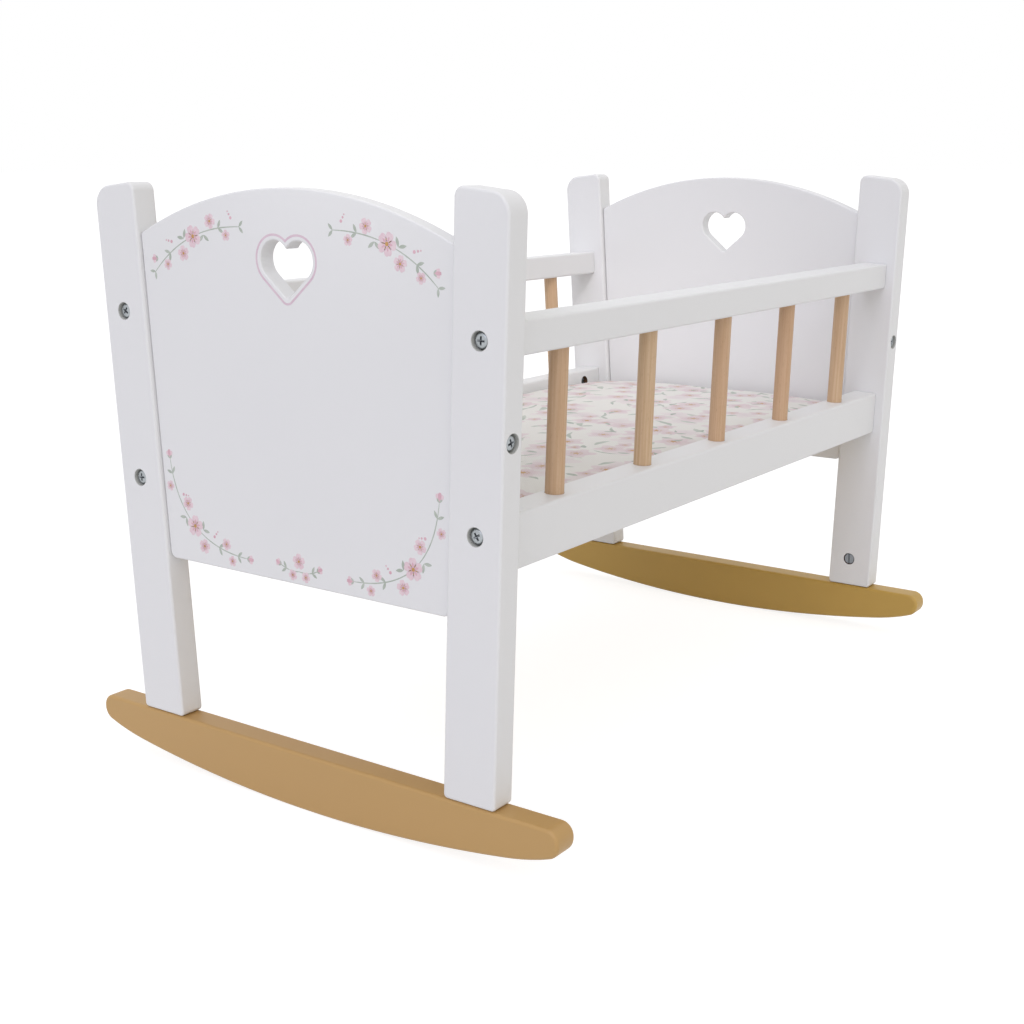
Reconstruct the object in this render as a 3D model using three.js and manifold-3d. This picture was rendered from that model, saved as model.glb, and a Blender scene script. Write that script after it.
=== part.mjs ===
// A wooden doll cradle that stands on two curved rockers. Millimetres, +Z up, floor at z = 0.
// X runs along the cradle from the near end to the far end, and the right side lies at -Y.
// Each side, its posts, rails and dowels, is one flat frame that leans outwards. It is built in
// a frame of its own: x along the cradle, y inwards from the posts' outer edges, z up the posts.

import * as THREE from 'three';
import { mergeVertices } from 'three/addons/utils/BufferGeometryUtils.js';
import Module from 'manifold-3d';

const wasm = await Module();
wasm.setup();

// Driving dimensions
const cradleLength = 470.5;   // over the outer faces of the posts
const footHalfWidth = 129.2;  // from the middle to a post's outer edge, at the rocker's top
const leanAngle = THREE.MathUtils.degToRad(2.85);
const fitGap = 0.3;           // between a piece and what it seats against
const overrun = 1;            // how far a cutter runs past the face that it opens

const post = {
  width: 32.5,
  thickness: 15,
  length: 302.5,         // along the inner edge
  topDrop: 2,            // from the inner edge to the outer one
  outerTopRadius: 11,
  innerTopRadius: 5,
  footRadius: 2.5,
  edgeChamfer: 1.2,
};

const rocker = {
  overhang: 38,          // past the posts' outer edges
  height: 32.5,
  endHeight: 16.5,       // where the underside's arc would meet the end
  tipReach: 32,          // the underside leaves its arc this far before each end
  tipLift: 3,            // and lies this much above the arc at the end
  undersideRadius: 8,
  topRadius: 5,
  edgeChamfer: 1.6,
};

const panel = {
  thickness: 9.5,
  setback: 2.4,          // behind the posts' outer faces
  bottomHeight: 94.5,    // above the rocker's top
  shoulderHeight: 276,
  archRise: 25.2,
  cornerRadius: 4,
  edgeChamfer: 0.9,
};

const heart = {
  centreHeight: 265,     // of the lobes, above the rocker's top
  lobeRadius: 10.05,
  lobeOffset: 8.3,
  tipDrop: 20.1,
  tipRadius: 2,
};

const rail = {
  thickness: 17.4,
  inset: 6.8,            // behind the posts' outer edges
  edgeRadius: 1.6,
};
// The bolts' shares are of the rail's height, and the dowels' pitch is a share of its length.
const lowerRail = { bottom: 118, height: 29.2, boltShare: 0.69 };
const upperRail = { bottom: 223.6, height: 17.3, boltShare: 0.5 };
const dowel = {
  diameter: 10,
  pitchShare: 0.1925,
  perSide: 5,
  socketDepth: 8,
  shift: 1,              // inwards from the middle of the rail
};

const board = { thickness: 3, rise: 5, grooveDepth: 5 };   // rise is above the lower rails' undersides

const mattress = {
  edgeHeight: 11,
  crownHeight: 4.5,
  sideGap: 0.8,
  endGap: 1.5,
  cornerRadius: 16,
  drawIn: 1.6,           // how far the middle of each side is pulled in
  edgeRadius: 5,
};

const bolt = {
  headDiameter: 8,
  headHeight: 2.8,
  headEdgeRadius: 1.4,
  shankDiameter: 4,
  sinkDepth: 3.8,        // from the wood's face to the seat of the head
  sinkDiameter: 9.3,
  driveWidth: 1.1,
  driveSpan: 4.4,
  driveDepth: 1.3,
};
const nut = { diameter: 8, length: 12, slotWidth: 1.2, slotDepth: 1, fromRailEnd: 21.2, pastNut: 2 };
const panelScrew = { height: 185, bite: 18 };
const rockerBolt = { nutHeight: 20.5, nutLength: 10, nutRecess: 0.4, sinkDepth: 6 };

const fastenerSides = 12;
const dowelSides = 16;
const filletSteps = 3;
const archSteps = 22;
const undersideSteps = 21;    // odd, so that the middle facet lies flat on the floor
const lobeSteps = 8;
const cushionSides = 48;
const cushionRollSteps = 3;
const cushionCrownSteps = 6;

// Colours and materials
function finish(colour, roughness, metalness) {
  return () => new THREE.MeshStandardMaterial({ color: colour, roughness, metalness, flatShading: true });
}
const whitePaint = finish(0xe9e9e6, 0.45, 0);
const tanPaint = finish(0xc29c69, 0.45, 0);
const bareDowel = finish(0xcaa87c, 0.6, 0);
const plainBoard = finish(0xd8c29a, 0.7, 0);
const zincSteel = finish(0xb8babd, 0.35, 0.9);
const printedCotton = finish(0xefe9e2, 0.95, 0);

// Geometry helpers
const xAxis = new THREE.Vector3(1, 0, 0);
const yAxis = new THREE.Vector3(0, 1, 0);
const zAxis = new THREE.Vector3(0, 0, 1);

function solidFrom(geometry) {
  const plain = geometry.clone();
  for (const name of Object.keys(plain.attributes)) {
    if (name !== 'position') plain.deleteAttribute(name);
  }
  const merged = mergeVertices(plain);
  const triangles = [];
  const index = merged.index.array;
  for (let first = 0; first < index.length; first += 3) {
    const [a, b, c] = index.slice(first, first + 3);
    if (a !== b && b !== c && c !== a) triangles.push(a, b, c);
  }
  return new wasm.Manifold(new wasm.Mesh({
    numProp: 3,
    vertProperties: new Float32Array(merged.attributes.position.array),
    triVerts: new Uint32Array(triangles),
  }));
}

function geometryFrom(solid) {
  const { vertProperties, triVerts } = solid.getMesh();
  const geometry = new THREE.BufferGeometry();
  geometry.setAttribute('position', new THREE.BufferAttribute(new Float32Array(vertProperties), 3));
  geometry.setIndex(new THREE.BufferAttribute(new Uint32Array(triVerts), 1));
  geometry.computeVertexNormals();
  return geometry;
}

function carve(geometry, cutters) {
  let solid = solidFrom(geometry);
  for (const cutter of cutters) solid = solid.subtract(solidFrom(cutter));
  return geometryFrom(solid);
}

// Moves a geometry made along +Z so that its origin and +Z lie at a point and along a direction.
function placed(geometry, x, y, z, direction) {
  const turn = new THREE.Quaternion().setFromUnitVectors(zAxis, direction);
  return geometry.clone().applyQuaternion(turn).translate(x, y, z);
}

// Rounds the convex corners of an outline that runs anticlockwise.
function rounded(corners) {
  const points = [];
  corners.forEach((corner, place) => {
    if (!corner.radius) {
      points.push(corner.at);
      return;
    }
    const toBefore = corners.at(place - 1).at.clone().sub(corner.at).normalize();
    const toAfter = corners[(place + 1) % corners.length].at.clone().sub(corner.at).normalize();
    const halfAngle = Math.acos(toBefore.dot(toAfter)) / 2;
    const inwards = toBefore.clone().add(toAfter).normalize();
    const centre = corner.at.clone().addScaledVector(inwards, corner.radius / Math.sin(halfAngle));
    const start = corner.at.clone().addScaledVector(toBefore, corner.radius / Math.tan(halfAngle));
    const firstAngle = Math.atan2(start.y - centre.y, start.x - centre.x);
    for (let step = 0; step <= filletSteps; step += 1) {
      const angle = firstAngle + ((Math.PI - 2 * halfAngle) * step) / filletSteps;
      const spoke = new THREE.Vector2(Math.cos(angle), Math.sin(angle));
      points.push(centre.clone().addScaledVector(spoke, corner.radius));
    }
  });
  return points;
}

function corner(x, y, radius = 0) {
  return { at: new THREE.Vector2(x, y), radius };
}

// Extrudes an outline drawn in y and z along +X, from x = 0, with its edges taken off.
function slab(outline, thickness, chamfer) {
  const geometry = new THREE.ExtrudeGeometry(new THREE.Shape(outline), {
    depth: thickness - 2 * chamfer,
    bevelEnabled: chamfer > 0,
    bevelThickness: chamfer,
    bevelSize: chamfer,
    bevelOffset: -chamfer,
    bevelSegments: 1,
  });
  geometry.translate(0, 0, chamfer);
  return geometry.applyMatrix4(new THREE.Matrix4().makeBasis(yAxis, zAxis, xAxis));
}

// Turns a profile of [radius, z] pairs about the Z axis.
function turned(profile, sides) {
  const points = profile.map(([radius, height]) => new THREE.Vector2(radius, height));
  return new THREE.LatheGeometry(points, sides).rotateX(Math.PI / 2);
}

function rod(diameter, length, sides) {
  return turned([[0, 0], [diameter / 2, 0], [diameter / 2, length], [0, length]], sides);
}

// The two sides' frames
function leaningFrame() {
  const frame = new THREE.Group();
  frame.position.set(0, -footHalfWidth, rocker.height);
  frame.rotation.x = leanAngle;
  return frame;
}

const cradle = new THREE.Group();
const sides = [
  { name: 'right', turn: 0, frame: leaningFrame() },
  { name: 'left', turn: Math.PI, frame: leaningFrame() },
];
for (const side of sides) {
  const turnedSide = new THREE.Group();
  turnedSide.rotation.z = side.turn;
  turnedSide.add(side.frame);
  cradle.add(turnedSide);
}
cradle.updateMatrixWorld(true);

// The end that lies at a side frame's low x or high x.
function endName(side, towards) {
  const isNear = side.turn === 0 ? towards < 0 : towards > 0;
  return isNear ? 'near' : 'far';
}

function addMesh(parent, name, geometry, material) {
  const mesh = new THREE.Mesh(geometry, material());
  mesh.name = name;
  parent.add(mesh);
  return mesh;
}

// Where things lie across a side, measured in the row's own upright frame
function postInnerY(height) {
  return footHalfWidth + height * Math.tan(leanAngle) - post.width / Math.cos(leanAngle);
}

function railInnerY(height) {
  const depth = rail.inset + rail.thickness;
  return footHalfWidth + height * Math.tan(leanAngle) - depth / Math.cos(leanAngle);
}

const postInnerX = cradleLength / 2 - post.thickness;
const railHalfLength = postInnerX - fitGap;
const rockerLength = 2 * (footHalfWidth + rocker.overhang);
const lowerBoltHeight = lowerRail.bottom + lowerRail.height * lowerRail.boltShare;
const upperBoltHeight = upperRail.bottom + upperRail.height * upperRail.boltShare;
const railMidY = rail.inset + rail.thickness / 2;
const dowelY = railMidY + dowel.shift;
const panelMidX = cradleLength / 2 - panel.setback - panel.thickness / 2;
const nutX = railHalfLength - nut.fromRailEnd;

// Fasteners: a screw's origin lies in the wood's face, and +Z points from its head to its tip.
function screwShape(sinkDepth, shankLength) {
  const top = sinkDepth - bolt.headHeight;
  const headRadius = bolt.headDiameter / 2;
  const shankRadius = bolt.shankDiameter / 2;
  const tip = sinkDepth + shankLength;
  const body = turned([
    [0, top],
    [headRadius - bolt.headEdgeRadius, top],
    [headRadius, top + bolt.headEdgeRadius],
    [headRadius, sinkDepth],
    [shankRadius, sinkDepth],
    [shankRadius, tip],
    [0, tip],
  ], fastenerSides);
  const reach = bolt.driveDepth + overrun;
  const slotMiddle = top + bolt.driveDepth - reach / 2;
  const slot = new THREE.BoxGeometry(bolt.driveSpan, bolt.driveWidth, reach).translate(0, 0, slotMiddle);
  const crossSlot = slot.clone().rotateZ(Math.PI / 2);
  return carve(body, [slot, crossSlot]);
}

function screwHole(sinkDepth, shankLength) {
  const sinkRadius = bolt.sinkDiameter / 2;
  const holeRadius = bolt.shankDiameter / 2 + fitGap;
  const seat = sinkDepth + fitGap;
  const end = sinkDepth + shankLength + overrun;
  return turned([[0, -overrun], [sinkRadius, -overrun], [sinkRadius, seat], [holeRadius, seat],
    [holeRadius, end], [0, end]], fastenerSides);
}

// A barrel nut lies along z from 0 and its cross bore opens along x.
function nutShape(length, boreHeight) {
  const body = rod(nut.diameter, length, fastenerSides);
  const bore = rod(bolt.shankDiameter + 2 * fitGap, nut.diameter + 2 * overrun, fastenerSides);
  const slot = new THREE.BoxGeometry(nut.diameter + 2 * overrun, nut.slotWidth, nut.slotDepth + overrun);
  slot.translate(0, 0, length + (overrun - nut.slotDepth) / 2);
  return carve(body, [placed(bore, -nut.diameter / 2 - overrun, 0, boreHeight, xAxis), slot]);
}

function nutHole(depth) {
  return rod(nut.diameter + 2 * fitGap, depth + overrun, fastenerSides);
}

// A rail bolt runs from a post's outer face to just past its nut.
const railBoltLength = cradleLength / 2 - bolt.sinkDepth - nutX + nut.diameter / 2 + nut.pastNut;
const panelScrewLength = post.width - bolt.sinkDepth + fitGap + panelScrew.bite;
const rockerBoltY = footHalfWidth - post.width / (2 * Math.cos(leanAngle));
const rockerCurve = (() => {
  const rise = rocker.height - rocker.endHeight;
  const halfLength = rockerLength / 2;
  return (halfLength * halfLength + rise * rise) / (2 * rise);
})();

// The underside is an arc made of flat facets, and its middle facet lies on the floor.
// Near each end it bends up from the arc.
function undersideHeight(y) {
  const facetHalf = rockerLength / (2 * undersideSteps);
  const root = (across) => Math.sqrt(rockerCurve * rockerCurve - across * across);
  const pastBend = Math.max(0, Math.abs(y) - rockerLength / 2 + rocker.tipReach);
  const lift = rocker.tipLift * (pastBend / rocker.tipReach) ** 2;
  return root(facetHalf) - root(y) + lift;
}

const rockerBoltSink = undersideHeight(rockerBoltY) + rockerBolt.sinkDepth;
const rockerBoltRise = rockerBolt.nutHeight + nut.diameter / 2 + nut.pastNut;
const rockerBoltLength = rocker.height - rockerBoltSink + rockerBoltRise;

// Posts: towards is -1 for the end at low x of the side's frame and +1 for the end at high x.
function postShape(towards) {
  const footAt = (y) => (fitGap - y * Math.sin(leanAngle)) / Math.cos(leanAngle);
  const outline = rounded([
    corner(0, footAt(0), post.footRadius),
    corner(post.width, footAt(post.width), post.footRadius),
    corner(post.width, post.length, post.innerTopRadius),
    corner(0, post.length - post.topDrop, post.outerTopRadius),
  ]);
  const outerX = (towards * cradleLength) / 2;
  const body = slab(outline, post.thickness, post.edgeChamfer);
  body.translate(towards < 0 ? outerX : postInnerX, 0, 0);
  const inwards = xAxis.clone().multiplyScalar(-towards);
  const railHole = screwHole(bolt.sinkDepth, railBoltLength);
  const upright = zAxis.clone().applyAxisAngle(xAxis, -leanAngle);
  const midX = outerX - (towards * post.thickness) / 2;
  const footMiddle = post.width / 2;
  const footHeight = -footMiddle * Math.tan(leanAngle);
  const footHole = rod(bolt.shankDiameter + 2 * fitGap, rockerBoltRise + 2 * overrun, fastenerSides);
  const outwards = inwards.clone().negate();
  const nutFaceX = outerX - towards * (post.thickness + overrun);
  const nutPoint = upright.clone().multiplyScalar(rockerBolt.nutHeight);
  return carve(body, [
    placed(railHole, outerX, railMidY, lowerBoltHeight, inwards),
    placed(railHole, outerX, railMidY, upperBoltHeight, inwards),
    placed(screwHole(bolt.sinkDepth, panelScrewLength), towards * panelMidX, 0, panelScrew.height, yAxis),
    placed(footHole, midX, footMiddle - overrun * upright.y, footHeight - overrun * upright.z, upright),
    placed(nutHole(rockerBolt.nutRecess + rockerBolt.nutLength + fitGap), nutFaceX,
      footMiddle + nutPoint.y, footHeight + nutPoint.z, outwards),
  ]);
}

for (const side of sides) {
  for (const towards of [-1, 1]) {
    addMesh(side.frame, `${endName(side, towards)}_${side.name}_post`, postShape(towards), whitePaint);
  }
}

// The base board slides into grooves along the lower rails.
const boardHeight = lowerRail.bottom + board.rise;
const boardHalfLength = postInnerX - fitGap;
const boardHalfWidth = railInnerY(boardHeight) + board.grooveDepth - fitGap;
const boardBottom = rocker.height + boardHeight;
const boardTop = boardBottom + board.thickness;

function boardShape() {
  const sheet = new THREE.BoxGeometry(2 * boardHalfLength, 2 * boardHalfWidth, board.thickness);
  return sheet.translate(0, 0, board.thickness / 2);
}

addMesh(cradle, 'base_board', boardShape(), plainBoard).position.z = boardBottom;

// Rails and the dowels between them
function railShape(size) {
  const low = size.bottom;
  const high = size.bottom + size.height;
  const outer = rail.inset;
  const inner = rail.inset + rail.thickness;
  const outline = rounded([
    corner(outer, low, rail.edgeRadius),
    corner(inner, low, rail.edgeRadius),
    corner(inner, high, rail.edgeRadius),
    corner(outer, high, rail.edgeRadius),
  ]);
  return slab(outline, 2 * railHalfLength, 0).translate(-railHalfLength, 0, 0);
}

function dowelPlaces() {
  const places = [];
  for (let index = 0; index < dowel.perSide; index += 1) {
    places.push((index - (dowel.perSide - 1) / 2) * dowel.pitchShare * 2 * railHalfLength);
  }
  return places;
}

function railBoltHoles(boltHeight) {
  const hole = screwHole(bolt.sinkDepth, railBoltLength);
  return [-1, 1].map((towards) => placed(hole, (towards * cradleLength) / 2, railMidY, boltHeight,
    xAxis.clone().multiplyScalar(-towards)));
}

// The board with its clearance all round, seen from a side's frame, is the cutter of the groove.
function grooveCutter(side) {
  const width = 2 * (boardHalfWidth + fitGap);
  const height = board.thickness + 2 * fitGap;
  const cutter = new THREE.BoxGeometry(2 * (railHalfLength + overrun), width, height);
  cutter.translate(0, 0, boardBottom + board.thickness / 2);
  return cutter.applyMatrix4(side.frame.matrixWorld.clone().invert());
}

const socketDiameter = dowel.diameter + 2 * fitGap;
const socketLength = dowel.socketDepth + overrun;
const railNutStart = railMidY - nut.length / 2;
const upperNutTop = upperBoltHeight + nut.length / 2;

function lowerRailShape(side) {
  const top = lowerRail.bottom + lowerRail.height;
  const socket = rod(socketDiameter, socketLength, dowelSides);
  const sockets = dowelPlaces().map((x) => placed(socket, x, dowelY, top - dowel.socketDepth, zAxis));
  const depth = rail.inset + rail.thickness - railNutStart + fitGap;
  const nuts = [-1, 1].map((towards) => placed(nutHole(depth), towards * nutX, railNutStart - fitGap,
    lowerBoltHeight, yAxis));
  return carve(railShape(lowerRail), [...sockets, ...railBoltHoles(lowerBoltHeight), ...nuts,
    grooveCutter(side)]);
}

function upperRailShape() {
  const socket = rod(socketDiameter, socketLength, dowelSides);
  const sockets = dowelPlaces().map((x) => placed(socket, x, dowelY, upperRail.bottom - overrun, zAxis));
  const depth = upperNutTop - upperRail.bottom + fitGap;
  const nuts = [-1, 1].map((towards) => placed(nutHole(depth), towards * nutX, railMidY,
    upperRail.bottom - overrun, zAxis));
  return carve(railShape(upperRail), [...sockets, ...railBoltHoles(upperBoltHeight), ...nuts]);
}

const dowelBottom = lowerRail.bottom + lowerRail.height - dowel.socketDepth + fitGap;
const dowelTop = upperRail.bottom + dowel.socketDepth - fitGap;

for (const side of sides) {
  addMesh(side.frame, `${side.name}_lower_rail`, lowerRailShape(side), whitePaint);
  addMesh(side.frame, `${side.name}_upper_rail`, upperRailShape(), whitePaint);
  dowelPlaces().forEach((x, index) => {
    const count = side.turn === 0 ? index + 1 : dowel.perSide - index;
    const bar = addMesh(side.frame, `${side.name}_dowel_${count}`,
      rod(dowel.diameter, dowelTop - dowelBottom, dowelSides), bareDowel);
    bar.position.set(x, dowelY, dowelBottom);
  });
}

// End panels: a straight-sided board with an arched top and a heart cut through it
function heartOutline() {
  const { lobeRadius, lobeOffset, tipDrop } = heart;
  const distance = Math.hypot(lobeOffset, tipDrop);
  const sideAngle = Math.atan2(tipDrop, lobeOffset) - Math.asin(lobeRadius / distance);
  const firstAngle = sideAngle - Math.PI / 2;
  const lastAngle = Math.PI - Math.acos(lobeOffset / lobeRadius);
  const points = [corner(0, -tipDrop, heart.tipRadius)];
  for (const hand of [1, -1]) {
    for (let step = 0; step <= lobeSteps; step += 1) {
      const share = hand > 0 ? step / lobeSteps : 1 - step / lobeSteps;
      const angle = firstAngle + (lastAngle - firstAngle) * share;
      const y = lobeOffset + lobeRadius * Math.cos(angle);
      const isDouble = hand < 0 && step === 0;
      if (!isDouble) points.push(corner(hand * y, lobeRadius * Math.sin(angle)));
    }
  }
  return rounded(points);
}

function panelOutline() {
  const halfBottom = postInnerY(panel.bottomHeight) - fitGap;
  const halfShoulder = postInnerY(panel.shoulderHeight) - fitGap;
  const archRadius = (halfShoulder * halfShoulder + panel.archRise * panel.archRise) / (2 * panel.archRise);
  const archCentre = panel.shoulderHeight + panel.archRise - archRadius;
  const halfSweep = Math.asin(halfShoulder / archRadius);
  const corners = [
    corner(-halfBottom, panel.bottomHeight, panel.cornerRadius),
    corner(halfBottom, panel.bottomHeight, panel.cornerRadius),
  ];
  for (let step = 0; step <= archSteps; step += 1) {
    const angle = halfSweep * (1 - (2 * step) / archSteps);
    corners.push(corner(archRadius * Math.sin(angle), archCentre + archRadius * Math.cos(angle)));
  }
  return rounded(corners);
}

function panelShape(startX) {
  const body = slab(panelOutline(), panel.thickness, panel.edgeChamfer);
  const heartCutter = slab(heartOutline(), panel.thickness + 2 * overrun, 0);
  heartCutter.translate(-overrun, 0, heart.centreHeight);
  const towards = Math.sign(startX + panel.thickness / 2);
  const toPanel = new THREE.Matrix4().makeTranslation(-startX, 0, -rocker.height);
  const screwHoles = sides.map((side) => {
    const along = side.turn === 0 ? towards : -towards;
    const hole = placed(screwHole(bolt.sinkDepth, panelScrewLength), along * panelMidX, 0,
      panelScrew.height, yAxis);
    return hole.applyMatrix4(side.frame.matrixWorld).applyMatrix4(toPanel);
  });
  return carve(body, [heartCutter, ...screwHoles]);
}

const panelStarts = [
  { name: 'near', startX: -cradleLength / 2 + panel.setback },
  { name: 'far', startX: cradleLength / 2 - panel.setback - panel.thickness },
];
for (const { name, startX } of panelStarts) {
  const mesh = addMesh(cradle, `${name}_end_panel`, panelShape(startX), whitePaint);
  mesh.position.set(startX, 0, rocker.height);
}

// Rockers: flat on top, one arc beneath, blunt rounded ends
function rockerShape() {
  const halfLength = rockerLength / 2;
  const corners = [];
  for (let step = 0; step <= undersideSteps; step += 1) {
    const y = halfLength * ((2 * step) / undersideSteps - 1);
    const isEnd = step === 0 || step === undersideSteps;
    corners.push(corner(y, undersideHeight(y), isEnd ? rocker.undersideRadius : 0));
  }
  corners.push(corner(halfLength, rocker.height, rocker.topRadius));
  corners.push(corner(-halfLength, rocker.height, rocker.topRadius));
  const body = slab(rounded(corners), post.thickness, rocker.edgeChamfer);
  const hole = screwHole(rockerBoltSink, rockerBoltLength);
  const places = [-rockerBoltY, rockerBoltY];
  return carve(body, places.map((y) => placed(hole, post.thickness / 2, y, 0, zAxis)));
}

const rockerStarts = { near: -cradleLength / 2, far: postInnerX };
for (const [name, startX] of Object.entries(rockerStarts)) {
  addMesh(cradle, `${name}_rocker`, rockerShape(), tanPaint).position.x = startX;
}

// Rail bolts, their barrel nuts and the panel screws
for (const side of sides) {
  for (const towards of [-1, 1]) {
    const place = `${endName(side, towards)}_${side.name}`;
    const outerX = (towards * cradleLength) / 2;
    const inwards = xAxis.clone().multiplyScalar(-towards);
    const boltShape = screwShape(bolt.sinkDepth, railBoltLength);
    for (const [level, height] of Object.entries({ lower: lowerBoltHeight, upper: upperBoltHeight })) {
      addMesh(side.frame, `${place}_${level}_rail_bolt`,
        placed(boltShape, outerX, railMidY, height, inwards), zincSteel);
    }
    const plainNut = nutShape(nut.length, nut.length / 2);
    addMesh(side.frame, `${place}_lower_rail_nut`,
      placed(plainNut, towards * nutX, railNutStart, lowerBoltHeight, yAxis), zincSteel);
    const risingNut = placed(plainNut, 0, 0, -nut.length / 2, zAxis).rotateX(Math.PI);
    addMesh(side.frame, `${place}_upper_rail_nut`,
      placed(risingNut, towards * nutX, railMidY, upperBoltHeight, zAxis), zincSteel);
    addMesh(side.frame, `${place}_panel_screw`,
      placed(screwShape(bolt.sinkDepth, panelScrewLength), towards * panelMidX, 0, panelScrew.height, yAxis),
      zincSteel);
  }
}

// Rocker bolts come up from beneath into barrel nuts in the posts' feet.
for (const [name, startX] of Object.entries(rockerStarts)) {
  for (const [sideName, y] of Object.entries({ right: -rockerBoltY, left: rockerBoltY })) {
    const upBolt = addMesh(cradle, `${name}_${sideName}_rocker_bolt`,
      screwShape(rockerBoltSink, rockerBoltLength), zincSteel);
    upBolt.position.set(startX + post.thickness / 2, y, 0);
    const towards = Math.sign(startX + post.thickness / 2);
    const inwards = xAxis.clone().multiplyScalar(-towards);
    const seatDepth = post.thickness - rockerBolt.nutRecess - rockerBolt.nutLength;
    const footNut = nutShape(rockerBolt.nutLength, post.thickness / 2 - seatDepth);
    addMesh(cradle, `${name}_${sideName}_rocker_nut`,
      placed(footNut, towards * (cradleLength / 2 - seatDepth), y,
        rocker.height + rockerBolt.nutHeight, inwards), zincSteel);
  }
}

// The loose mattress: rings of a rounded plan climb the drawn-in sides and close over the crown.
function planPoint(share, halfLength, halfWidth) {
  const radius = mattress.cornerRadius;
  const quarter = Math.floor(share * 4);
  const within = share * 4 - quarter;
  const signX = quarter === 0 || quarter === 3 ? 1 : -1;
  const signY = quarter < 2 ? 1 : -1;
  const isRising = quarter % 2 === 0;
  const along = isRising ? within : 1 - within;
  const straightX = halfLength - radius;
  const straightY = halfWidth - radius;
  const thirds = along * 3;
  if (thirds < 1) return [signX * halfLength, signY * straightY * thirds];
  if (thirds > 2) return [signX * straightX * (3 - thirds), signY * halfWidth];
  const angle = ((thirds - 1) * Math.PI) / 2;
  return [
    signX * (straightX + radius * Math.cos(angle)),
    signY * (straightY + radius * Math.sin(angle)),
  ];
}

function mattressShape(halfLength, halfWidth) {
  const positions = [];
  const rings = [];
  const addRing = (inset, height, scaleShare) => {
    const ring = [];
    for (let index = 0; index < cushionSides; index += 1) {
      const [x, y] = planPoint(index / cushionSides, halfLength - inset, halfWidth - inset);
      const slackX = mattress.drawIn * Math.cos((y / halfWidth) * (Math.PI / 2)) ** 2;
      const slackY = mattress.drawIn * Math.cos((x / halfLength) * (Math.PI / 2)) ** 2;
      const pulledX = x - Math.sign(x) * slackX * Math.abs(x / halfLength);
      const pulledY = y - Math.sign(y) * slackY * Math.abs(y / halfWidth);
      ring.push(positions.length / 3);
      positions.push(pulledX * scaleShare, pulledY * scaleShare, height);
    }
    rings.push(ring);
  };
  const roll = mattress.edgeRadius;
  for (let step = 0; step <= cushionRollSteps; step += 1) {
    const angle = (Math.PI / 2) * (step / cushionRollSteps);
    addRing(roll * (1 - Math.sin(angle)), roll * (1 - Math.cos(angle)), 1);
  }
  for (let step = 0; step <= cushionRollSteps; step += 1) {
    const angle = (Math.PI / 2) * (step / cushionRollSteps);
    addRing(roll * (1 - Math.cos(angle)), mattress.edgeHeight - roll * (1 - Math.sin(angle)), 1);
  }
  for (let step = 1; step < cushionCrownSteps; step += 1) {
    const share = 1 - step / cushionCrownSteps;
    addRing(roll, mattress.edgeHeight + mattress.crownHeight * (1 - share * share), share);
  }
  const top = positions.length / 3;
  positions.push(0, 0, mattress.edgeHeight + mattress.crownHeight);
  const bottom = positions.length / 3;
  positions.push(0, 0, 0);
  const index = [];
  for (let level = 0; level + 1 < rings.length; level += 1) {
    for (let step = 0; step < cushionSides; step += 1) {
      const next = (step + 1) % cushionSides;
      const [a, b] = [rings[level][step], rings[level][next]];
      const [c, d] = [rings[level + 1][step], rings[level + 1][next]];
      index.push(a, b, d, a, d, c);
    }
  }
  for (let step = 0; step < cushionSides; step += 1) {
    const next = (step + 1) % cushionSides;
    index.push(rings.at(-1)[step], rings.at(-1)[next], top);
    index.push(rings[0][next], rings[0][step], bottom);
  }
  const geometry = new THREE.BufferGeometry();
  geometry.setAttribute('position', new THREE.Float32BufferAttribute(positions, 3));
  geometry.setIndex(index);
  geometry.computeVertexNormals();
  return geometry;
}

const mattressHalfLength = postInnerX - mattress.endGap;
const mattressHalfWidth = railInnerY(boardHeight + board.thickness) - mattress.sideGap;
addMesh(cradle, 'mattress', mattressShape(mattressHalfLength, mattressHalfWidth), printedCotton)
  .position.z = boardTop + fitGap;

export default cradle;
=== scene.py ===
"""A wooden doll cradle on curved rockers: its finished surfaces, light and camera.

All shapes are worked out in millimetres and turned to metres when a mesh is made. Each side of the
cradle leans outwards, so its posts, rails and dowels are worked out in a side frame: x along the
cradle, y inwards from the posts' outer edges, z up the posts. The left side is the right side turned
half round the vertical axis.
"""
import math

import bpy
import numpy as np
from mathutils import Matrix, Vector


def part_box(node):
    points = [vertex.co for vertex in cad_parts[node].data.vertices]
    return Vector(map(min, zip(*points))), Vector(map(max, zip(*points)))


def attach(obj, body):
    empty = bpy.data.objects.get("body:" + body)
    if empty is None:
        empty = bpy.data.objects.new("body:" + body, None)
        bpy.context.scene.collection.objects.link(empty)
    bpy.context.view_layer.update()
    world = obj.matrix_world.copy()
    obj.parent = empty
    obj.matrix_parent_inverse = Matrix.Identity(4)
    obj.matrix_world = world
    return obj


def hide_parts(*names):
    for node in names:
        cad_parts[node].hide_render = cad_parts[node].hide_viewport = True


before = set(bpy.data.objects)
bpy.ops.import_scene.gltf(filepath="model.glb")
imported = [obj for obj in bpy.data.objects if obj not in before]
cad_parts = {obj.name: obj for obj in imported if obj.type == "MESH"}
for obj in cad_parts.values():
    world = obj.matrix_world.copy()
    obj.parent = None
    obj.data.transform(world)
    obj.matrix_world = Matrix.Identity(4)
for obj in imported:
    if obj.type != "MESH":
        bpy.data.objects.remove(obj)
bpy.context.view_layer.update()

MM = 0.001

# Driving sizes, in millimetres
CRADLE_LENGTH = 470.5
FOOT_HALF_WIDTH = 129.2
LEAN = math.radians(2.85)
FIT_GAP = 0.3
OVERRUN = 1.0

POST_WIDTH = 32.5
POST_THICKNESS = 15.0
POST_LENGTH = 302.5
POST_TOP_DROP = 2.0
POST_OUTER_TOP_RADIUS = 11.0
POST_INNER_TOP_RADIUS = 5.0
POST_FOOT_RADIUS = 2.5
POST_EDGE_RADIUS = 1.6

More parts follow.
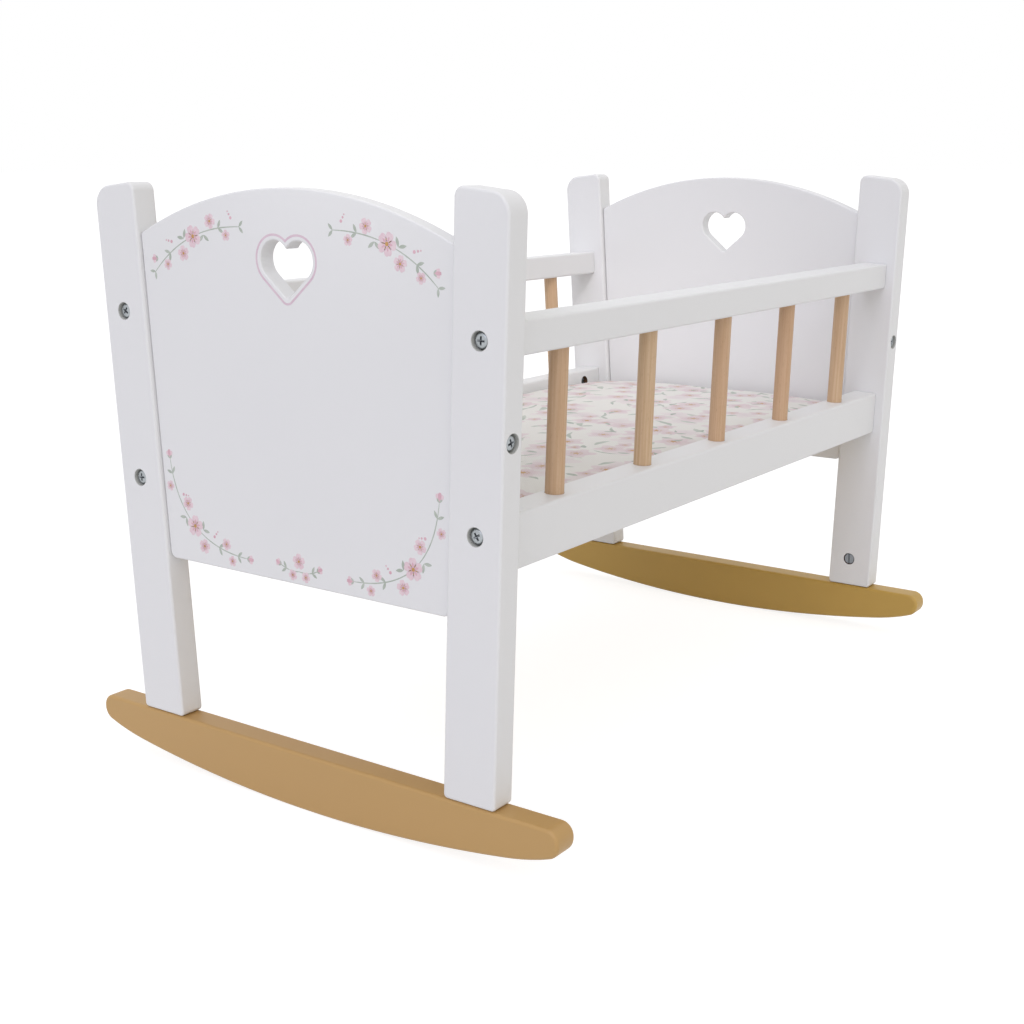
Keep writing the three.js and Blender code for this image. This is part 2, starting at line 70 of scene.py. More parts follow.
ROCKER_OVERHANG = 38.0
ROCKER_HEIGHT = 32.5
ROCKER_END_HEIGHT = 16.5
ROCKER_UNDERSIDE_RADIUS = 8.0
ROCKER_TOP_RADIUS = 7.0
ROCKER_TIP_REACH = 32.0
ROCKER_TIP_LIFT = 3.0
ROCKER_EDGE_RADIUS = 2.0
ROCKER_FLAT = 16.0

PANEL_THICKNESS = 9.5
PANEL_SETBACK = 2.4
PANEL_BOTTOM = 94.5
PANEL_SHOULDER = 276.0
PANEL_RISE = 25.2
PANEL_CORNER_RADIUS = 4.0
PANEL_EDGE_RADIUS = 1.1

HEART_CENTRE = 265.0
HEART_LOBE_RADIUS = 10.05
HEART_LOBE_OFFSET = 8.3
HEART_TIP_DROP = 20.1
HEART_TIP_RADIUS = 2.0
HEART_EDGE_RADIUS = 0.8
HEART_LINE_REACH, HEART_LINE_START = 3.25, 2.1     # the printed line's two edges, out from the cut
INK_HEIGHT, INK_ROOT = 0.06, 0.05                  # above the panel's face and within it

RAIL_THICKNESS = 17.4
RAIL_INSET = 6.8
RAIL_EDGE_RADIUS = 1.6
RAIL_END_RADIUS = 0.25
LOWER_BOTTOM, LOWER_HEIGHT, LOWER_BOLT_SHARE = 118.0, 29.2, 0.69
UPPER_BOTTOM, UPPER_HEIGHT, UPPER_BOLT_SHARE = 223.6, 17.3, 0.5

DOWEL_DIAMETER = 10.0
DOWEL_COUNT = 5
DOWEL_PITCH_SHARE = 0.1925
DOWEL_SOCKET = 8.0
DOWEL_SHIFT = 1.0
DOWEL_EASE = 0.5

HEAD_DIAMETER = 8.0
HEAD_HEIGHT = 2.8
HEAD_RIM_RADIUS, HEAD_DOME = 1.25, 0.22
CROSS_DEPTH, CROSS_SPAN, CROSS_WIDTH = 1.5, 4.6, 1.15
SHANK_DIAMETER = 4.0
SHANK_TIP = 0.8
SINK_DEPTH = 3.8
SINK_DIAMETER = 9.3
SINK_EASE = 0.35
NUT_DIAMETER = 8.0
NUT_LENGTH = 12.0
NUT_EASE = 0.4
NUT_SLOT_WIDTH, NUT_SLOT_DEPTH = 1.2, 1.0
NUT_FROM_RAIL_END = 21.2
PAST_NUT = 2.0
PANEL_SCREW_HEIGHT = 185.0
PANEL_SCREW_BITE = 18.0
ROCKER_NUT_HEIGHT = 20.5
ROCKER_NUT_LENGTH = 10.0
ROCKER_NUT_RECESS = 0.4
ROCKER_SINK = 6.0

# Worked out from the sizes above
POST_INNER_X = CRADLE_LENGTH / 2 - POST_THICKNESS
RAIL_HALF_LENGTH = POST_INNER_X - FIT_GAP
RAIL_MID_Y = RAIL_INSET + RAIL_THICKNESS / 2
LOWER_BOLT = LOWER_BOTTOM + LOWER_HEIGHT * LOWER_BOLT_SHARE
UPPER_BOLT = UPPER_BOTTOM + UPPER_HEIGHT * UPPER_BOLT_SHARE
PANEL_MID_X = CRADLE_LENGTH / 2 - PANEL_SETBACK - PANEL_THICKNESS / 2
NUT_X = RAIL_HALF_LENGTH - NUT_FROM_RAIL_END
RAIL_BOLT_LENGTH = CRADLE_LENGTH / 2 - SINK_DEPTH - NUT_X + NUT_DIAMETER / 2 + PAST_NUT
PANEL_SCREW_LENGTH = POST_WIDTH - SINK_DEPTH + FIT_GAP + PANEL_SCREW_BITE
ROCKER_BOLT_Y = FOOT_HALF_WIDTH - POST_WIDTH / (2 * math.cos(LEAN))
ROCKER_HALF_LENGTH = FOOT_HALF_WIDTH + ROCKER_OVERHANG
ROCKER_RISE = ROCKER_HEIGHT - ROCKER_END_HEIGHT
ROCKER_CURVE = (ROCKER_HALF_LENGTH ** 2 + ROCKER_RISE ** 2) / (2 * ROCKER_RISE)
DOWEL_PITCH = DOWEL_PITCH_SHARE * 2 * RAIL_HALF_LENGTH
DOWEL_PLACES = (np.arange(DOWEL_COUNT) - (DOWEL_COUNT - 1) / 2) * DOWEL_PITCH

MATTRESS_CORNER_RADIUS = 16.0
MATTRESS_DRAW_IN = 0.5
MATTRESS_RIM = 2.5
MATTRESS_CROWN = 0.8
SOLID_CROWN = 4.5        # how far the CAD mattress's middle stands above its edge
RIM_RAISE = 2.8          # the slab's edge above the CAD mattress's edge
STUFFING_ROOM = 0.8      # the slab starts this much smaller beneath and at the sides, before it swells
STUFFING_PRESSURE = 4.0
SWELL_LIMIT = 1.6
EDGE_LIFT = 2.2
CORNER_DROP = 3.2
VOXEL = 3.6
SEAM_DEPTH, SEAM_WIDTH = 1.3, 1.5
PUCKERS = ((0.45, 9.5, 0.0), (0.25, 6.1, 1.0))     # depth, pitch and phase
PUCKER_MEAN, PUCKER_REACH = 0.5, 3.2
COVER_GAP = 0.15         # the cover stays this far inside the solid's sides
COVER_PROUD = 2.5        # and may stand this far above its crown

ROUND_STEPS = 64         # points round a dowel
HARDWARE_STEPS = 48      # points round a screw, a nut or a hole
NUT_BORE_STEPS = 32
POST_FILLET_STEPS = 12
FILLET_STEPS = 8
EDGE_STEPS = 5
HEART_SIDE_ANGLE = (math.atan2(HEART_TIP_DROP, HEART_LOBE_OFFSET)
                    - math.asin(HEART_LOBE_RADIUS / math.hypot(HEART_LOBE_OFFSET, HEART_TIP_DROP)))


# Materials

def linear(hex_colour):
    """sRGB hex to linear RGBA: c/12.92 below 0.04045, and ((c + 0.055)/1.055)^2.4 above it."""
    parts = [int(hex_colour[i:i + 2], 16) / 255 for i in (0, 2, 4)]
    return tuple(c / 12.92 if c <= 0.04045 else ((c + 0.055) / 1.055) ** 2.4 for c in parts) + (1.0,)


def add(tree, kind, inputs=None, out=0, **settings):
    """Adds a shader node; an input is a value, a hex colour or an output to link. Returns one output."""
    made = tree.nodes.new("ShaderNode" + kind)
    for name, value in settings.items():
        setattr(made, name, value)
    for key, value in (inputs or {}).items():
        if isinstance(value, bpy.types.NodeSocket):
            tree.links.new(value, made.inputs[key])
        else:
            made.inputs[key].default_value = linear(value) if isinstance(value, str) else value
    return made.outputs[out] if out is not None and made.outputs else made.outputs


def new_material(name):
    """A material with an empty node tree."""
    material = bpy.data.materials.new(name)
    material.use_nodes = True
    material.node_tree.nodes.clear()
    return material, material.node_tree


def sprayed_lacquer(name, colour, pale, roughness):
    """Satin lacquer sprayed on sanded board: soft broad sheen, faint orange peel, slight change of tone."""
    material, tree = new_material(name)
    place = add(tree, "TexCoord", out="Object")
    cloud = add(tree, "TexNoise", {"Vector": place, "Scale": 9.0, "Detail": 2.0})
    tint = add(tree, "Mix", {0: cloud, 6: colour, 7: pale}, out=2, data_type="RGBA")
    # orange peel about 1.6 mm across, drawn a little coarser than real so that it shows
    peel = add(tree, "TexNoise", {"Vector": place, "Scale": 620.0, "Detail": 1.0})
    relief = add(tree, "Bump", {"Height": peel, "Strength": 0.09, "Distance": 0.0002})
    gloss = add(tree, "MapRange", {0: cloud, 1: 0.3, 2: 0.7, 3: roughness - 0.04, 4: roughness + 0.05})
    shader = add(tree, "BsdfPrincipled", {"Base Color": tint, "Roughness": gloss, "Normal": relief})
    add(tree, "OutputMaterial", {"Surface": shader})
    return material


def bare_dowel_wood(name, lean):
    """Sanded beech dowel, uncoated: fine streaks and short ray flecks along the dowel's own length."""
    material, tree = new_material(name)
    place = add(tree, "TexCoord", out="Object")
    upright = add(tree, "Mapping", {"Vector": place, "Rotation": (-lean, 0.0, 0.0)})
    # streaks 1.2 mm wide and about 60 mm long
    along = add(tree, "Mapping", {"Vector": upright, "Scale": (850.0, 850.0, 16.0)})
    streak = add(tree, "TexNoise", {"Vector": along, "Scale": 1.0, "Detail": 5.0, "Roughness": 0.6})
    spread = add(tree, "MapRange", {0: streak, 1: 0.3, 2: 0.72})
    wood = add(tree, "Mix", {0: spread, 6: "D6BC9C", 7: "BF9D77"}, out=2, data_type="RGBA")
    # one tone for each dowel, because they stand 85 mm apart: pinker or yellower
    tone_place = add(tree, "Mapping", {"Vector": upright, "Scale": (11.0, 4.0, 1.0)})
    tone = add(tree, "TexNoise", {"Vector": tone_place, "Scale": 1.0, "Detail": 1.0})
    tone_spread = add(tree, "MapRange", {0: tone, 1: 0.35, 2: 0.65, 3: 0.0, 4: 0.5})
    toned = add(tree, "Mix", {0: tone_spread, 6: wood, 7: "C49A7A"}, out=2, data_type="RGBA")
    # ray flecks 0.5 mm wide and 3 mm long
    fleck_place = add(tree, "Mapping", {"Vector": upright, "Scale": (2200.0, 2200.0, 330.0)})
    fleck = add(tree, "TexNoise", {"Vector": fleck_place, "Scale": 1.0, "Detail": 2.0})
    dark = add(tree, "MapRange", {0: fleck, 1: 0.62, 2: 0.75, 3: 0.0, 4: 0.4})
    tint = add(tree, "Mix", {0: dark, 6: toned, 7: "957253"}, out=2, data_type="RGBA")
    relief = add(tree, "Bump", {"Height": streak, "Strength": 0.25, "Distance": 0.0002})
    shader = add(tree, "BsdfPrincipled", {"Base Color": tint, "Roughness": 0.58, "Normal": relief})
    add(tree, "OutputMaterial", {"Surface": shader})
    return material


def bare_plywood(name):
    """Thin birch plywood, sanded and uncoated: broad soft grain along the cradle."""
    material, tree = new_material(name)
    place = add(tree, "TexCoord", out="Object")
    along = add(tree, "Mapping", {"Vector": place, "Scale": (6.0, 90.0, 90.0)})
    grain = add(tree, "TexNoise", {"Vector": along, "Scale": 1.0, "Detail": 5.0, "Distortion": 0.6})
    spread = add(tree, "MapRange", {0: grain, 1: 0.35, 2: 0.65})
    tint = add(tree, "Mix", {0: spread, 6: "E0C79C", 7: "CDAE7E"}, out=2, data_type="RGBA")
    relief = add(tree, "Bump", {"Height": grain, "Strength": 0.15, "Distance": 0.0003})
    shader = add(tree, "BsdfPrincipled", {"Base Color": tint, "Roughness": 0.65, "Normal": relief})
    add(tree, "OutputMaterial", {"Surface": shader})
    return material


def zinc_plate(name, colour, bloom, roughness):
    """Zinc plate on rolled steel: a soft mirror with a slight cloudiness."""
    material, tree = new_material(name)
    place = add(tree, "TexCoord", out="Object")
    cloud = add(tree, "TexNoise", {"Vector": place, "Scale": 900.0, "Detail": 2.0})
    tint = add(tree, "Mix", {0: cloud, 6: colour, 7: bloom}, out=2, data_type="RGBA")
    gloss = add(tree, "MapRange", {0: cloud, 3: roughness - 0.08, 4: roughness + 0.1})
    shader = add(tree, "BsdfPrincipled", {"Base Color": tint, "Metallic": 1.0, "Roughness": gloss})
    add(tree, "OutputMaterial", {"Surface": shader})
    return material


def drilled_wood(name):
    """The raw wall of a drilled hole: torn wood fibre, coloured dark brown as painted shade for the dark
    inside the hole.
    """
    material, tree = new_material(name)
    place = add(tree, "TexCoord", out="Object")
    fibre = add(tree, "TexNoise", {"Vector": place, "Scale": 1500.0})
    # the dark browns are raw wood darkened by painted shade, for the shade deep inside a hole
    tint = add(tree, "Mix", {0: fibre, 6: "4A3325", 7: "6B4C36"}, out=2, data_type="RGBA")
    shader = add(tree, "BsdfPrincipled", {"Base Color": tint, "Roughness": 0.9})
    add(tree, "OutputMaterial", {"Surface": shader})
    return material


def screen_ink(name, colour, shade):
    """Ink printed on lacquer: matt, with a slightly uneven lay."""
    material, tree = new_material(name)
    place = add(tree, "TexCoord", out="Object")
    cloud = add(tree, "TexNoise", {"Vector": place, "Scale": 260.0, "Detail": 2.0})
    spread = add(tree, "MapRange", {0: cloud, 1: 0.4, 2: 0.62})
    tint = add(tree, "Mix", {0: spread, 6: colour, 7: shade}, out=2, data_type="RGBA")
    shader = add(tree, "BsdfPrincipled", {"Base Color": tint, "Roughness": 0.5})
    add(tree, "OutputMaterial", {"Surface": shader})
    return material


# The cotton's print from the bottom layer up. Sizes in millimetres: cell is the spacing of a layer's motifs
# and reach half a motif's length. Used is the share of cells that hold one. Petals 0 makes a leaf.
COTTON_PRINT = (
    dict(cell=38, wander=0.6, used=0.9, reach=14.5, petals=5, rim="DDD5D4", heart="D5CACC"),
    dict(cell=24, wander=0.9, used=0.7, reach=8.0, waist=0.28, rim="BBC1B8", heart="A5AEA3"),
    dict(cell=30, wander=0.8, used=0.65, reach=11.0, waist=0.11, rim="B3BAB0", heart="9DA69B"),
    dict(cell=33, wander=0.6, used=0.9, reach=12.5, petals=5, rim="D8CACC", heart="CCB5BB", eye="B8893C"),
    dict(cell=25, wander=0.8, used=0.45, reach=7.6, petals=5, rim="D5C5C8", heart="C9B1B7", eye="BD9048"),
    dict(cell=18, wander=0.95, used=0.4, reach=4.6, waist=0.36, rim="A6AFA4", heart="97A196"),
)


def print_layer(tree, place, ground, offset, cell, wander, used, reach, rim, heart, petals=0, waist=0.0,
                eye=None):
    """One layer of the cotton's print over the ground colour: a motif in each used cell of a scattered grid.

    A motif is turned by its cell's own angle. With p the place over reach, a blossom ends at
    |p| = 0.82 + 0.18 cos(petals x angle), and a leaf at |y - 0.2 x^2| = waist (1 - x^2).
    """
    cells = add(tree, "VectorMath", {0: place, 1: (1 / cell,) * 3, 2: offset}, operation="MULTIPLY_ADD")
    seed = add(tree, "TexVoronoi", {"Vector": cells, "Scale": 1.0, "Randomness": wander}, out=None,
               voronoi_dimensions="2D")
    chance = add(tree, "SeparateColor", {0: seed["Color"]}, out=None)
    turn = add(tree, "Math", {0: chance[0], 1: 2 * math.pi}, operation="MULTIPLY")
    away = add(tree, "VectorMath", {0: cells, 1: seed["Position"]}, operation="SUBTRACT")
    turned = add(tree, "VectorRotate", {"Vector": away, "Angle": turn}, rotation_type="Z_AXIS")
    size = add(tree, "MapRange", {0: chance[1], 3: 1.2 * cell / reach, 4: 0.95 * cell / reach})
    local = add(tree, "VectorMath", {0: turned, "Scale": size}, operation="SCALE")
    axes = add(tree, "SeparateXYZ", {0: local}, out=None)
    if petals:
        angle = add(tree, "Math", {0: axes[1], 1: axes[0]}, operation="ARCTAN2")
        angle = add(tree, "Math", {0: angle, 1: petals}, operation="MULTIPLY")
        wave = add(tree, "Math", {0: angle}, operation="COSINE")
        edge = add(tree, "Math", {0: wave, 1: 0.18, 2: 0.82}, operation="MULTIPLY_ADD")
        radius = add(tree, "VectorMath", {0: local}, out=1, operation="LENGTH")
        depth = add(tree, "Math", {0: radius, 1: edge}, operation="DIVIDE")
        # each petal darkens towards the middle and towards the cleft beside it
        cleft = add(tree, "MapRange", {0: wave, 1: 0.2, 2: -1.0, 3: 0.0, 4: 0.5})
        tone = add(tree, "MapRange", {0: depth, 1: 0.75, 2: 0.1, 3: cleft, 4: 1.0})
    else:
        bend = add(tree, "Math", {0: axes[0], 1: axes[0]}, operation="MULTIPLY")
        bowed = add(tree, "Math", {0: bend, 1: -0.2, 2: axes[1]}, operation="MULTIPLY_ADD")
        across = add(tree, "Math", {0: bowed}, operation="ABSOLUTE")
        half = add(tree, "Math", {0: bend, 1: -waist, 2: waist + 0.001}, operation="MULTIPLY_ADD")
        half = add(tree, "Math", {0: half, 1: 0.001}, operation="MAXIMUM")
        depth = add(tree, "Math", {0: across, 1: half}, operation="DIVIDE")
        tone = add(tree, "MapRange", {0: axes[0], 1: -0.9, 2: 0.9})
    soft = 0.5 / reach if petals else 0.2
    inside = add(tree, "MapRange", {0: depth, 1: 1.0 - soft, 2: 1.0 + soft, 3: 1.0, 4: 0.0})
    chosen = add(tree, "Math", {0: chance[2], 1: used}, operation="LESS_THAN")
    shown = add(tree, "Math", {0: inside, 1: chosen}, operation="MULTIPLY")
    tint = add(tree, "Mix", {0: tone, 6: rim, 7: heart}, out=2, data_type="RGBA")
    if eye:
        # an eye a seventh of the blossom wide, and a ring of stamens round it
        middle = add(tree, "MapRange", {0: radius, 1: 0.12, 2: 0.17, 3: 1.0, 4: 0.0})
        stamen_wave = add(tree, "Math", {0: angle, 1: 2.2}, operation="MULTIPLY")
        stamen_wave = add(tree, "Math", {0: stamen_wave}, operation="SINE")
        stamens = add(tree, "MapRange", {0: stamen_wave, 1: 0.35, 2: 0.75})
        ring = add(tree, "Math", {0: radius, 1: 0.27, 2: 0.05}, operation="COMPARE")
        stamens = add(tree, "Math", {0: stamens, 1: ring}, operation="MULTIPLY")
        middle = add(tree, "Math", {0: middle, 1: stamens}, operation="MAXIMUM")
        tint = add(tree, "Mix", {0: middle, 6: tint, 7: eye}, out=2, data_type="RGBA")
    return add(tree, "Mix", {0: shown, 6: ground, 7: tint}, out=2, data_type="RGBA")


def printed_cotton(name):
    """Plain-woven cotton with a soft all-over print of small blossoms and leaves, matt and slightly fuzzy."""
    material, tree = new_material(name)
    laid = add(tree, "Attribute", out="Vector", attribute_name="cloth_place")
    place = add(tree, "VectorMath", {0: laid, "Scale": 1 / MM}, operation="SCALE")
    # the drawing's edges waver by about 0.5 mm, as brushed dye does
    waver = add(tree, "TexNoise", {"Vector": place, "Scale": 0.25, "Detail": 2.0}, out="Color")
    drawn = add(tree, "VectorMath", {0: waver, 1: (2.2, 2.2, 0.0), 2: place}, operation="MULTIPLY_ADD")
    tint = add(tree, "RGB")
    tint.default_value = linear("DEDCD7")
    for number, layer in enumerate(COTTON_PRINT):
        tint = print_layer(tree, drawn, tint, (7.3 * number + 0.4, 3.7 * number + 0.2, 0.0), **layer)
    # the dye takes unevenly over patches of about 6 mm
    dye = add(tree, "TexNoise", {"Vector": place, "Scale": 0.16, "Detail": 3.0})
    fade = add(tree, "MapRange", {0: dye, 1: 0.4, 2: 0.7, 3: 0.0, 4: 0.35})
    tint = add(tree, "Mix", {0: fade, 6: tint, 7: "DCD8D3"}, out=2, data_type="RGBA")
    # plain weave: threads 0.45 mm apart, drawn at 0.8 mm so that they show
    threads = add(tree, "VectorMath", {0: place, "Scale": math.pi / 0.8}, operation="SCALE")
    threads = add(tree, "VectorMath", {0: threads}, operation="SINE")
    threads = add(tree, "SeparateXYZ", {0: threads}, out=None)
    weave = add(tree, "Math", {0: threads[0], 1: threads[1]}, operation="MULTIPLY")
    relief = add(tree, "Bump", {"Height": weave, "Strength": 0.25, "Distance": 0.0002})
    shader = add(tree, "BsdfPrincipled", {"Base Color": tint, "Roughness": 0.85, "Normal": relief,
                                          "Sheen Weight": 0.15, "Sheen Roughness": 0.5})
    add(tree, "OutputMaterial", {"Surface": shader})
    return material


white_lacquer = sprayed_lacquer("satin_white_sprayed_lacquer", "E4E4E5", "E7E7E7", 0.42)
# the far rocker's lacquer is the same tan made yellower: painted shade and bounced light under the cradle
rocker_lacquer_and_shaded_copy = {"near": sprayed_lacquer("satin_tan_sprayed_lacquer", "BB955C", "BF9960", 0.42),
                   "far": sprayed_lacquer("satin_tan_lacquer_yellowed_as_painted_shade", "BB9749", "BF9B4D", 0.42)}
dowel_woods = {"right": bare_dowel_wood("sanded_beech_right", LEAN),
               "left": bare_dowel_wood("sanded_beech_left", -LEAN)}
board_wood = bare_plywood("sanded_birch_plywood")
bright_zinc = zinc_plate("bright_zinc_plated_steel", "999EA1", "B6BBBE", 0.42)
dull_zinc = zinc_plate("dull_zinc_plated_steel", "7C8085", "93979B", 0.48)
# raw wood on the holes' walls, painted dark: painted shade inside the holes
raw_wood_and_painted_shade = drilled_wood("raw_drilled_wood_darkened_as_painted_shade")
# grey on the walls of the posts' counterbores and screw holes is painted shade, for the shade inside these
# recesses
painted_shade_grey_hole_wall = sprayed_lacquer("grey_painted_shade_in_bolt_holes", "B2B3AF", "B9BAB6", 0.6)
cover_cotton = printed_cotton("printed_plain_weave_cotton")
inks = [screen_ink("petal_pink_screen_ink", "E6D0D6", "E1C7CF"),
        screen_ink("rose_screen_ink", "DBB3BE", "D4A9B5"),
        screen_ink("sage_green_screen_ink", "B9C0B6", "AAB3A7"),
        screen_ink("ochre_screen_ink", "C69B5F", "BA8C50"),
        screen_ink("dusky_pink_screen_ink", "DAC4CF", "D5BCC9")]
PETAL, ROSE, SAGE, OCHRE, DUSKY = range(5)


# Shapes: arrays of points in millimetres

def closed_skin(rings, joined=False):
    """Index arrays of the faces over a stack of rings: quads between the rings, and one face on each end.

    Where the stack is joined, its last ring meets its first and there are no end faces.
    """
    rows, columns = rings.shape[:2]
    row, column = np.meshgrid(np.arange(rows if joined else rows - 1), np.arange(columns), indexing="ij")
    following, above = (column + 1) % columns, (row + 1) % rows
    quads = np.stack([row * columns + column, row * columns + following,
                      above * columns + following, above * columns + column], axis=-1)
    ring = np.arange(columns)
    ends = [] if joined else [ring[None, ::-1], ring[None] + (rows - 1) * columns]
    return [quads.reshape(-1, 4)] + ends


def rounded(corners, steps=FILLET_STEPS):
    """An anticlockwise outline of (x, y, radius) corners, each replaced by an arc tangent to both sides.

    The arc's centre lies on the corner's bisector at radius / sin(half angle).
    """
    places = np.array([corner[:2] for corner in corners], float)
    pieces = []
    for index, (x, y, radius) in enumerate(corners):
        at = places[index]
        if not radius:
            pieces.append(at[None])
            continue
        back = places[index - 1] - at
        onward = places[(index + 1) % len(corners)] - at
        back, onward = back / np.linalg.norm(back), onward / np.linalg.norm(onward)
        half = math.acos(float(back @ onward)) / 2
        bisector = (back + onward) / np.linalg.norm(back + onward)
        centre = at + bisector * radius / math.sin(half)
        start = at + back * radius / math.tan(half) - centre
        angles = math.atan2(start[1], start[0]) + np.linspace(0, math.pi - 2 * half, steps + 1)
        pieces.append(centre + radius * np.stack([np.cos(angles), np.sin(angles)], axis=1))
    return np.concatenate(pieces)


def inset(outline, distance):
    """The outline moved inwards, each point along (n1 + n2) / (1 + n1.n2) of its edges' normals."""
    before = outline - np.roll(outline, 1, axis=0)
    after = np.roll(outline, -1, axis=0) - outline
    normals = [np.stack([edge[:, 1], -edge[:, 0]], axis=1) / np.linalg.norm(edge, axis=1)[:, None]
               for edge in (before, after)]
    along = (normals[0] + normals[1]) / (1 + (normals[0] * normals[1]).sum(axis=1))[:, None]
    return outline - distance * along


def slab_rings(outline, start, thickness, radius):
    """Rings of a slab whose outline lies in y and z and whose two rims are quarter rounds.

    At angle a the rim is inset by radius (1 - sin a) and lies radius (1 - cos a) inside its face.
    """
    angles = np.linspace(0, math.pi / 2, EDGE_STEPS + 1)
    insets = radius * (1 - np.sin(angles))
    depths = radius * (1 - np.cos(angles))
    insets = np.concatenate([insets, insets[::-1]])
    depths = np.concatenate([depths, thickness - depths[::-1]])
    rings = [np.column_stack([np.full(len(outline), start + depth), inset(outline, distance)])
             for distance, depth in zip(insets, depths)]
    return np.array(rings)


def turned_rings(profile, steps=ROUND_STEPS):
    """Rings of a turned piece round the z axis: x = r cos a, y = r sin a for each (r, z) of the profile."""
    profile = np.array(profile, float)
    angles = np.linspace(0, 2 * math.pi, steps, endpoint=False)
    circle = np.stack([np.cos(angles), np.sin(angles)], axis=1)
    heights = np.repeat(profile[:, 1], steps).reshape(len(profile), steps, 1)
    return np.concatenate([profile[:, 0, None, None] * circle[None], heights], axis=2)


def aimed(points, place, direction):
    """Points made along +Z, turned so that +Z runs along the direction, and moved to the place."""
    turn = np.array(Vector((0, 0, 1)).rotation_difference(Vector(direction)).to_matrix())
    return points @ turn.T + np.array(place, float)


def to_row(points, side):
    """Side frame to the cradle's own frame: a lean about x, a shift, and half a turn for the left side."""
    x, y, z = points[..., 0], points[..., 1], points[..., 2]
    across = -FOOT_HALF_WIDTH + y * math.cos(LEAN) - z * math.sin(LEAN)
    up = ROCKER_HEIGHT + y * math.sin(LEAN) + z * math.cos(LEAN)
    hand = 1 if side == "right" else -1
    return np.stack([hand * x, hand * across, up], axis=-1)


def end_of(side, towards):
    """The end of the cradle at a side frame's low x (-1) or high x (+1)."""
    return "near" if (towards < 0) == (side == "right") else "far"


def curve_height(y):
    """Height of the rockers' underside: an arc, flat over its middle, that bends up at its tips.

    The bend adds lift s^2, with s the share of the tip's reach that is passed.
    """
    y = np.asarray(y, float)
    arc = math.sqrt(ROCKER_CURVE ** 2 - (ROCKER_FLAT / 2) ** 2) - np.sqrt(ROCKER_CURVE ** 2 - y ** 2)
    past_bend = np.maximum(0, np.abs(y) - ROCKER_HALF_LENGTH + ROCKER_TIP_REACH) / ROCKER_TIP_REACH
    return np.maximum(arc, 0.0) + ROCKER_TIP_LIFT * past_bend ** 2


def inner_y(height, depth):
    """Half the width between the two sides' planes at this depth, at a height above the rockers."""
    return FOOT_HALF_WIDTH + height * math.tan(LEAN) - depth / math.cos(LEAN)


# Meshes

def make_piece(name, parts, materials):
    """One object from closed shapes: (rings in millimetres, material number, and True if joined)."""
    points, faces, numbers, first = [], [], [], 0
    for rings, number, *joined in parts:
        points.append(rings.reshape(-1, 3))
        for block in closed_skin(rings, *joined):
            faces += (block + first).tolist()
            numbers += [number] * len(block)
        first += len(points[-1])
    mesh = bpy.data.meshes.new(name)
    mesh.from_pydata((np.concatenate(points) * MM).tolist(), [], faces)
    for material in materials:
        mesh.materials.append(material)
    mesh.polygons.foreach_set("material_index", numbers)
    mesh.polygons.foreach_set("use_smooth", [True] * len(faces))
    mesh.update()
    piece = bpy.data.objects.new(name, mesh)
    bpy.context.scene.collection.objects.link(piece)
    return piece


def bake(piece):
    """Puts a piece's modifiers into its mesh."""
    graph = bpy.context.evaluated_depsgraph_get()
    finished = bpy.data.meshes.new_from_object(piece.evaluated_get(graph))
    piece.modifiers.clear()
    piece.data = finished
    return piece


def carve(piece, cutters):
    """Cuts closed shapes out of a piece. A cutter is (rings, material)."""
    palette = list(dict.fromkeys(material for _, material in cutters))
    parts = [(rings, palette.index(material)) for rings, material in cutters]
    tool = make_piece(piece.name + "_tool", parts, palette)
    cut = piece.modifiers.new("holes", "BOOLEAN")
    cut.operation, cut.solver, cut.object = "DIFFERENCE", "EXACT", tool
    cut.material_mode = "TRANSFER"
    bake(piece)
    bpy.data.objects.remove(tool)
    return piece


def finish_piece(piece, body, slot, *nodes):
    """Keeps corners over 35 degrees crisp, lets the flats rule the shading, and seats the piece."""
    piece.data.set_sharp_from_angle(angle=math.radians(35))
    weighted = piece.modifiers.new("flat_faces", "WEIGHTED_NORMAL")
    weighted.keep_sharp, weighted.weight = True, 90
    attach(piece, body)
    if nodes:
        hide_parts(*nodes)
    return piece


# Holes and fasteners

def screw_hole(sink_depth, length):
    """A counterbore and clearance hole from the wood's face at z = 0, with an eased rim."""
    wide, narrow = SINK_DIAMETER / 2, SHANK_DIAMETER / 2 + FIT_GAP
    angles = np.linspace(0, math.pi / 2, EDGE_STEPS)
    rim = [(wide + SINK_EASE * (1 - math.sin(a)), SINK_EASE * (1 - math.cos(a))) for a in angles]
    profile = [(wide + SINK_EASE, -OVERRUN)] + rim
    profile += [(wide, sink_depth + FIT_GAP), (narrow, sink_depth + FIT_GAP),
                (narrow, sink_depth + length + OVERRUN)]
    return turned_rings(profile, HARDWARE_STEPS)


def plain_hole(diameter, depth):
    """A drilled hole of the given depth that opens at z = 0 towards -z."""
    radius = diameter / 2
    return turned_rings([(radius, -OVERRUN), (radius, depth)], HARDWARE_STEPS)


def cross_drive():
    """A tapered cross: a plus-shaped outline, scaled in steps down to 0.42 at the bottom."""
    half, arm = CROSS_WIDTH / 2, CROSS_SPAN / 2
    plus = np.array([(half, half), (half, arm), (-half, arm), (-half, half), (-arm, half), (-arm, -half),
                     (-half, -half), (-half, -arm), (half, -arm), (half, -half), (arm, -half), (arm, half)])
    levels = ((-OVERRUN, 1.1), (0.0, 1.0), (CROSS_DEPTH, 0.42))
    return np.array([np.column_stack([plus * scale, np.full(len(plus), height)])
                     for height, scale in levels])


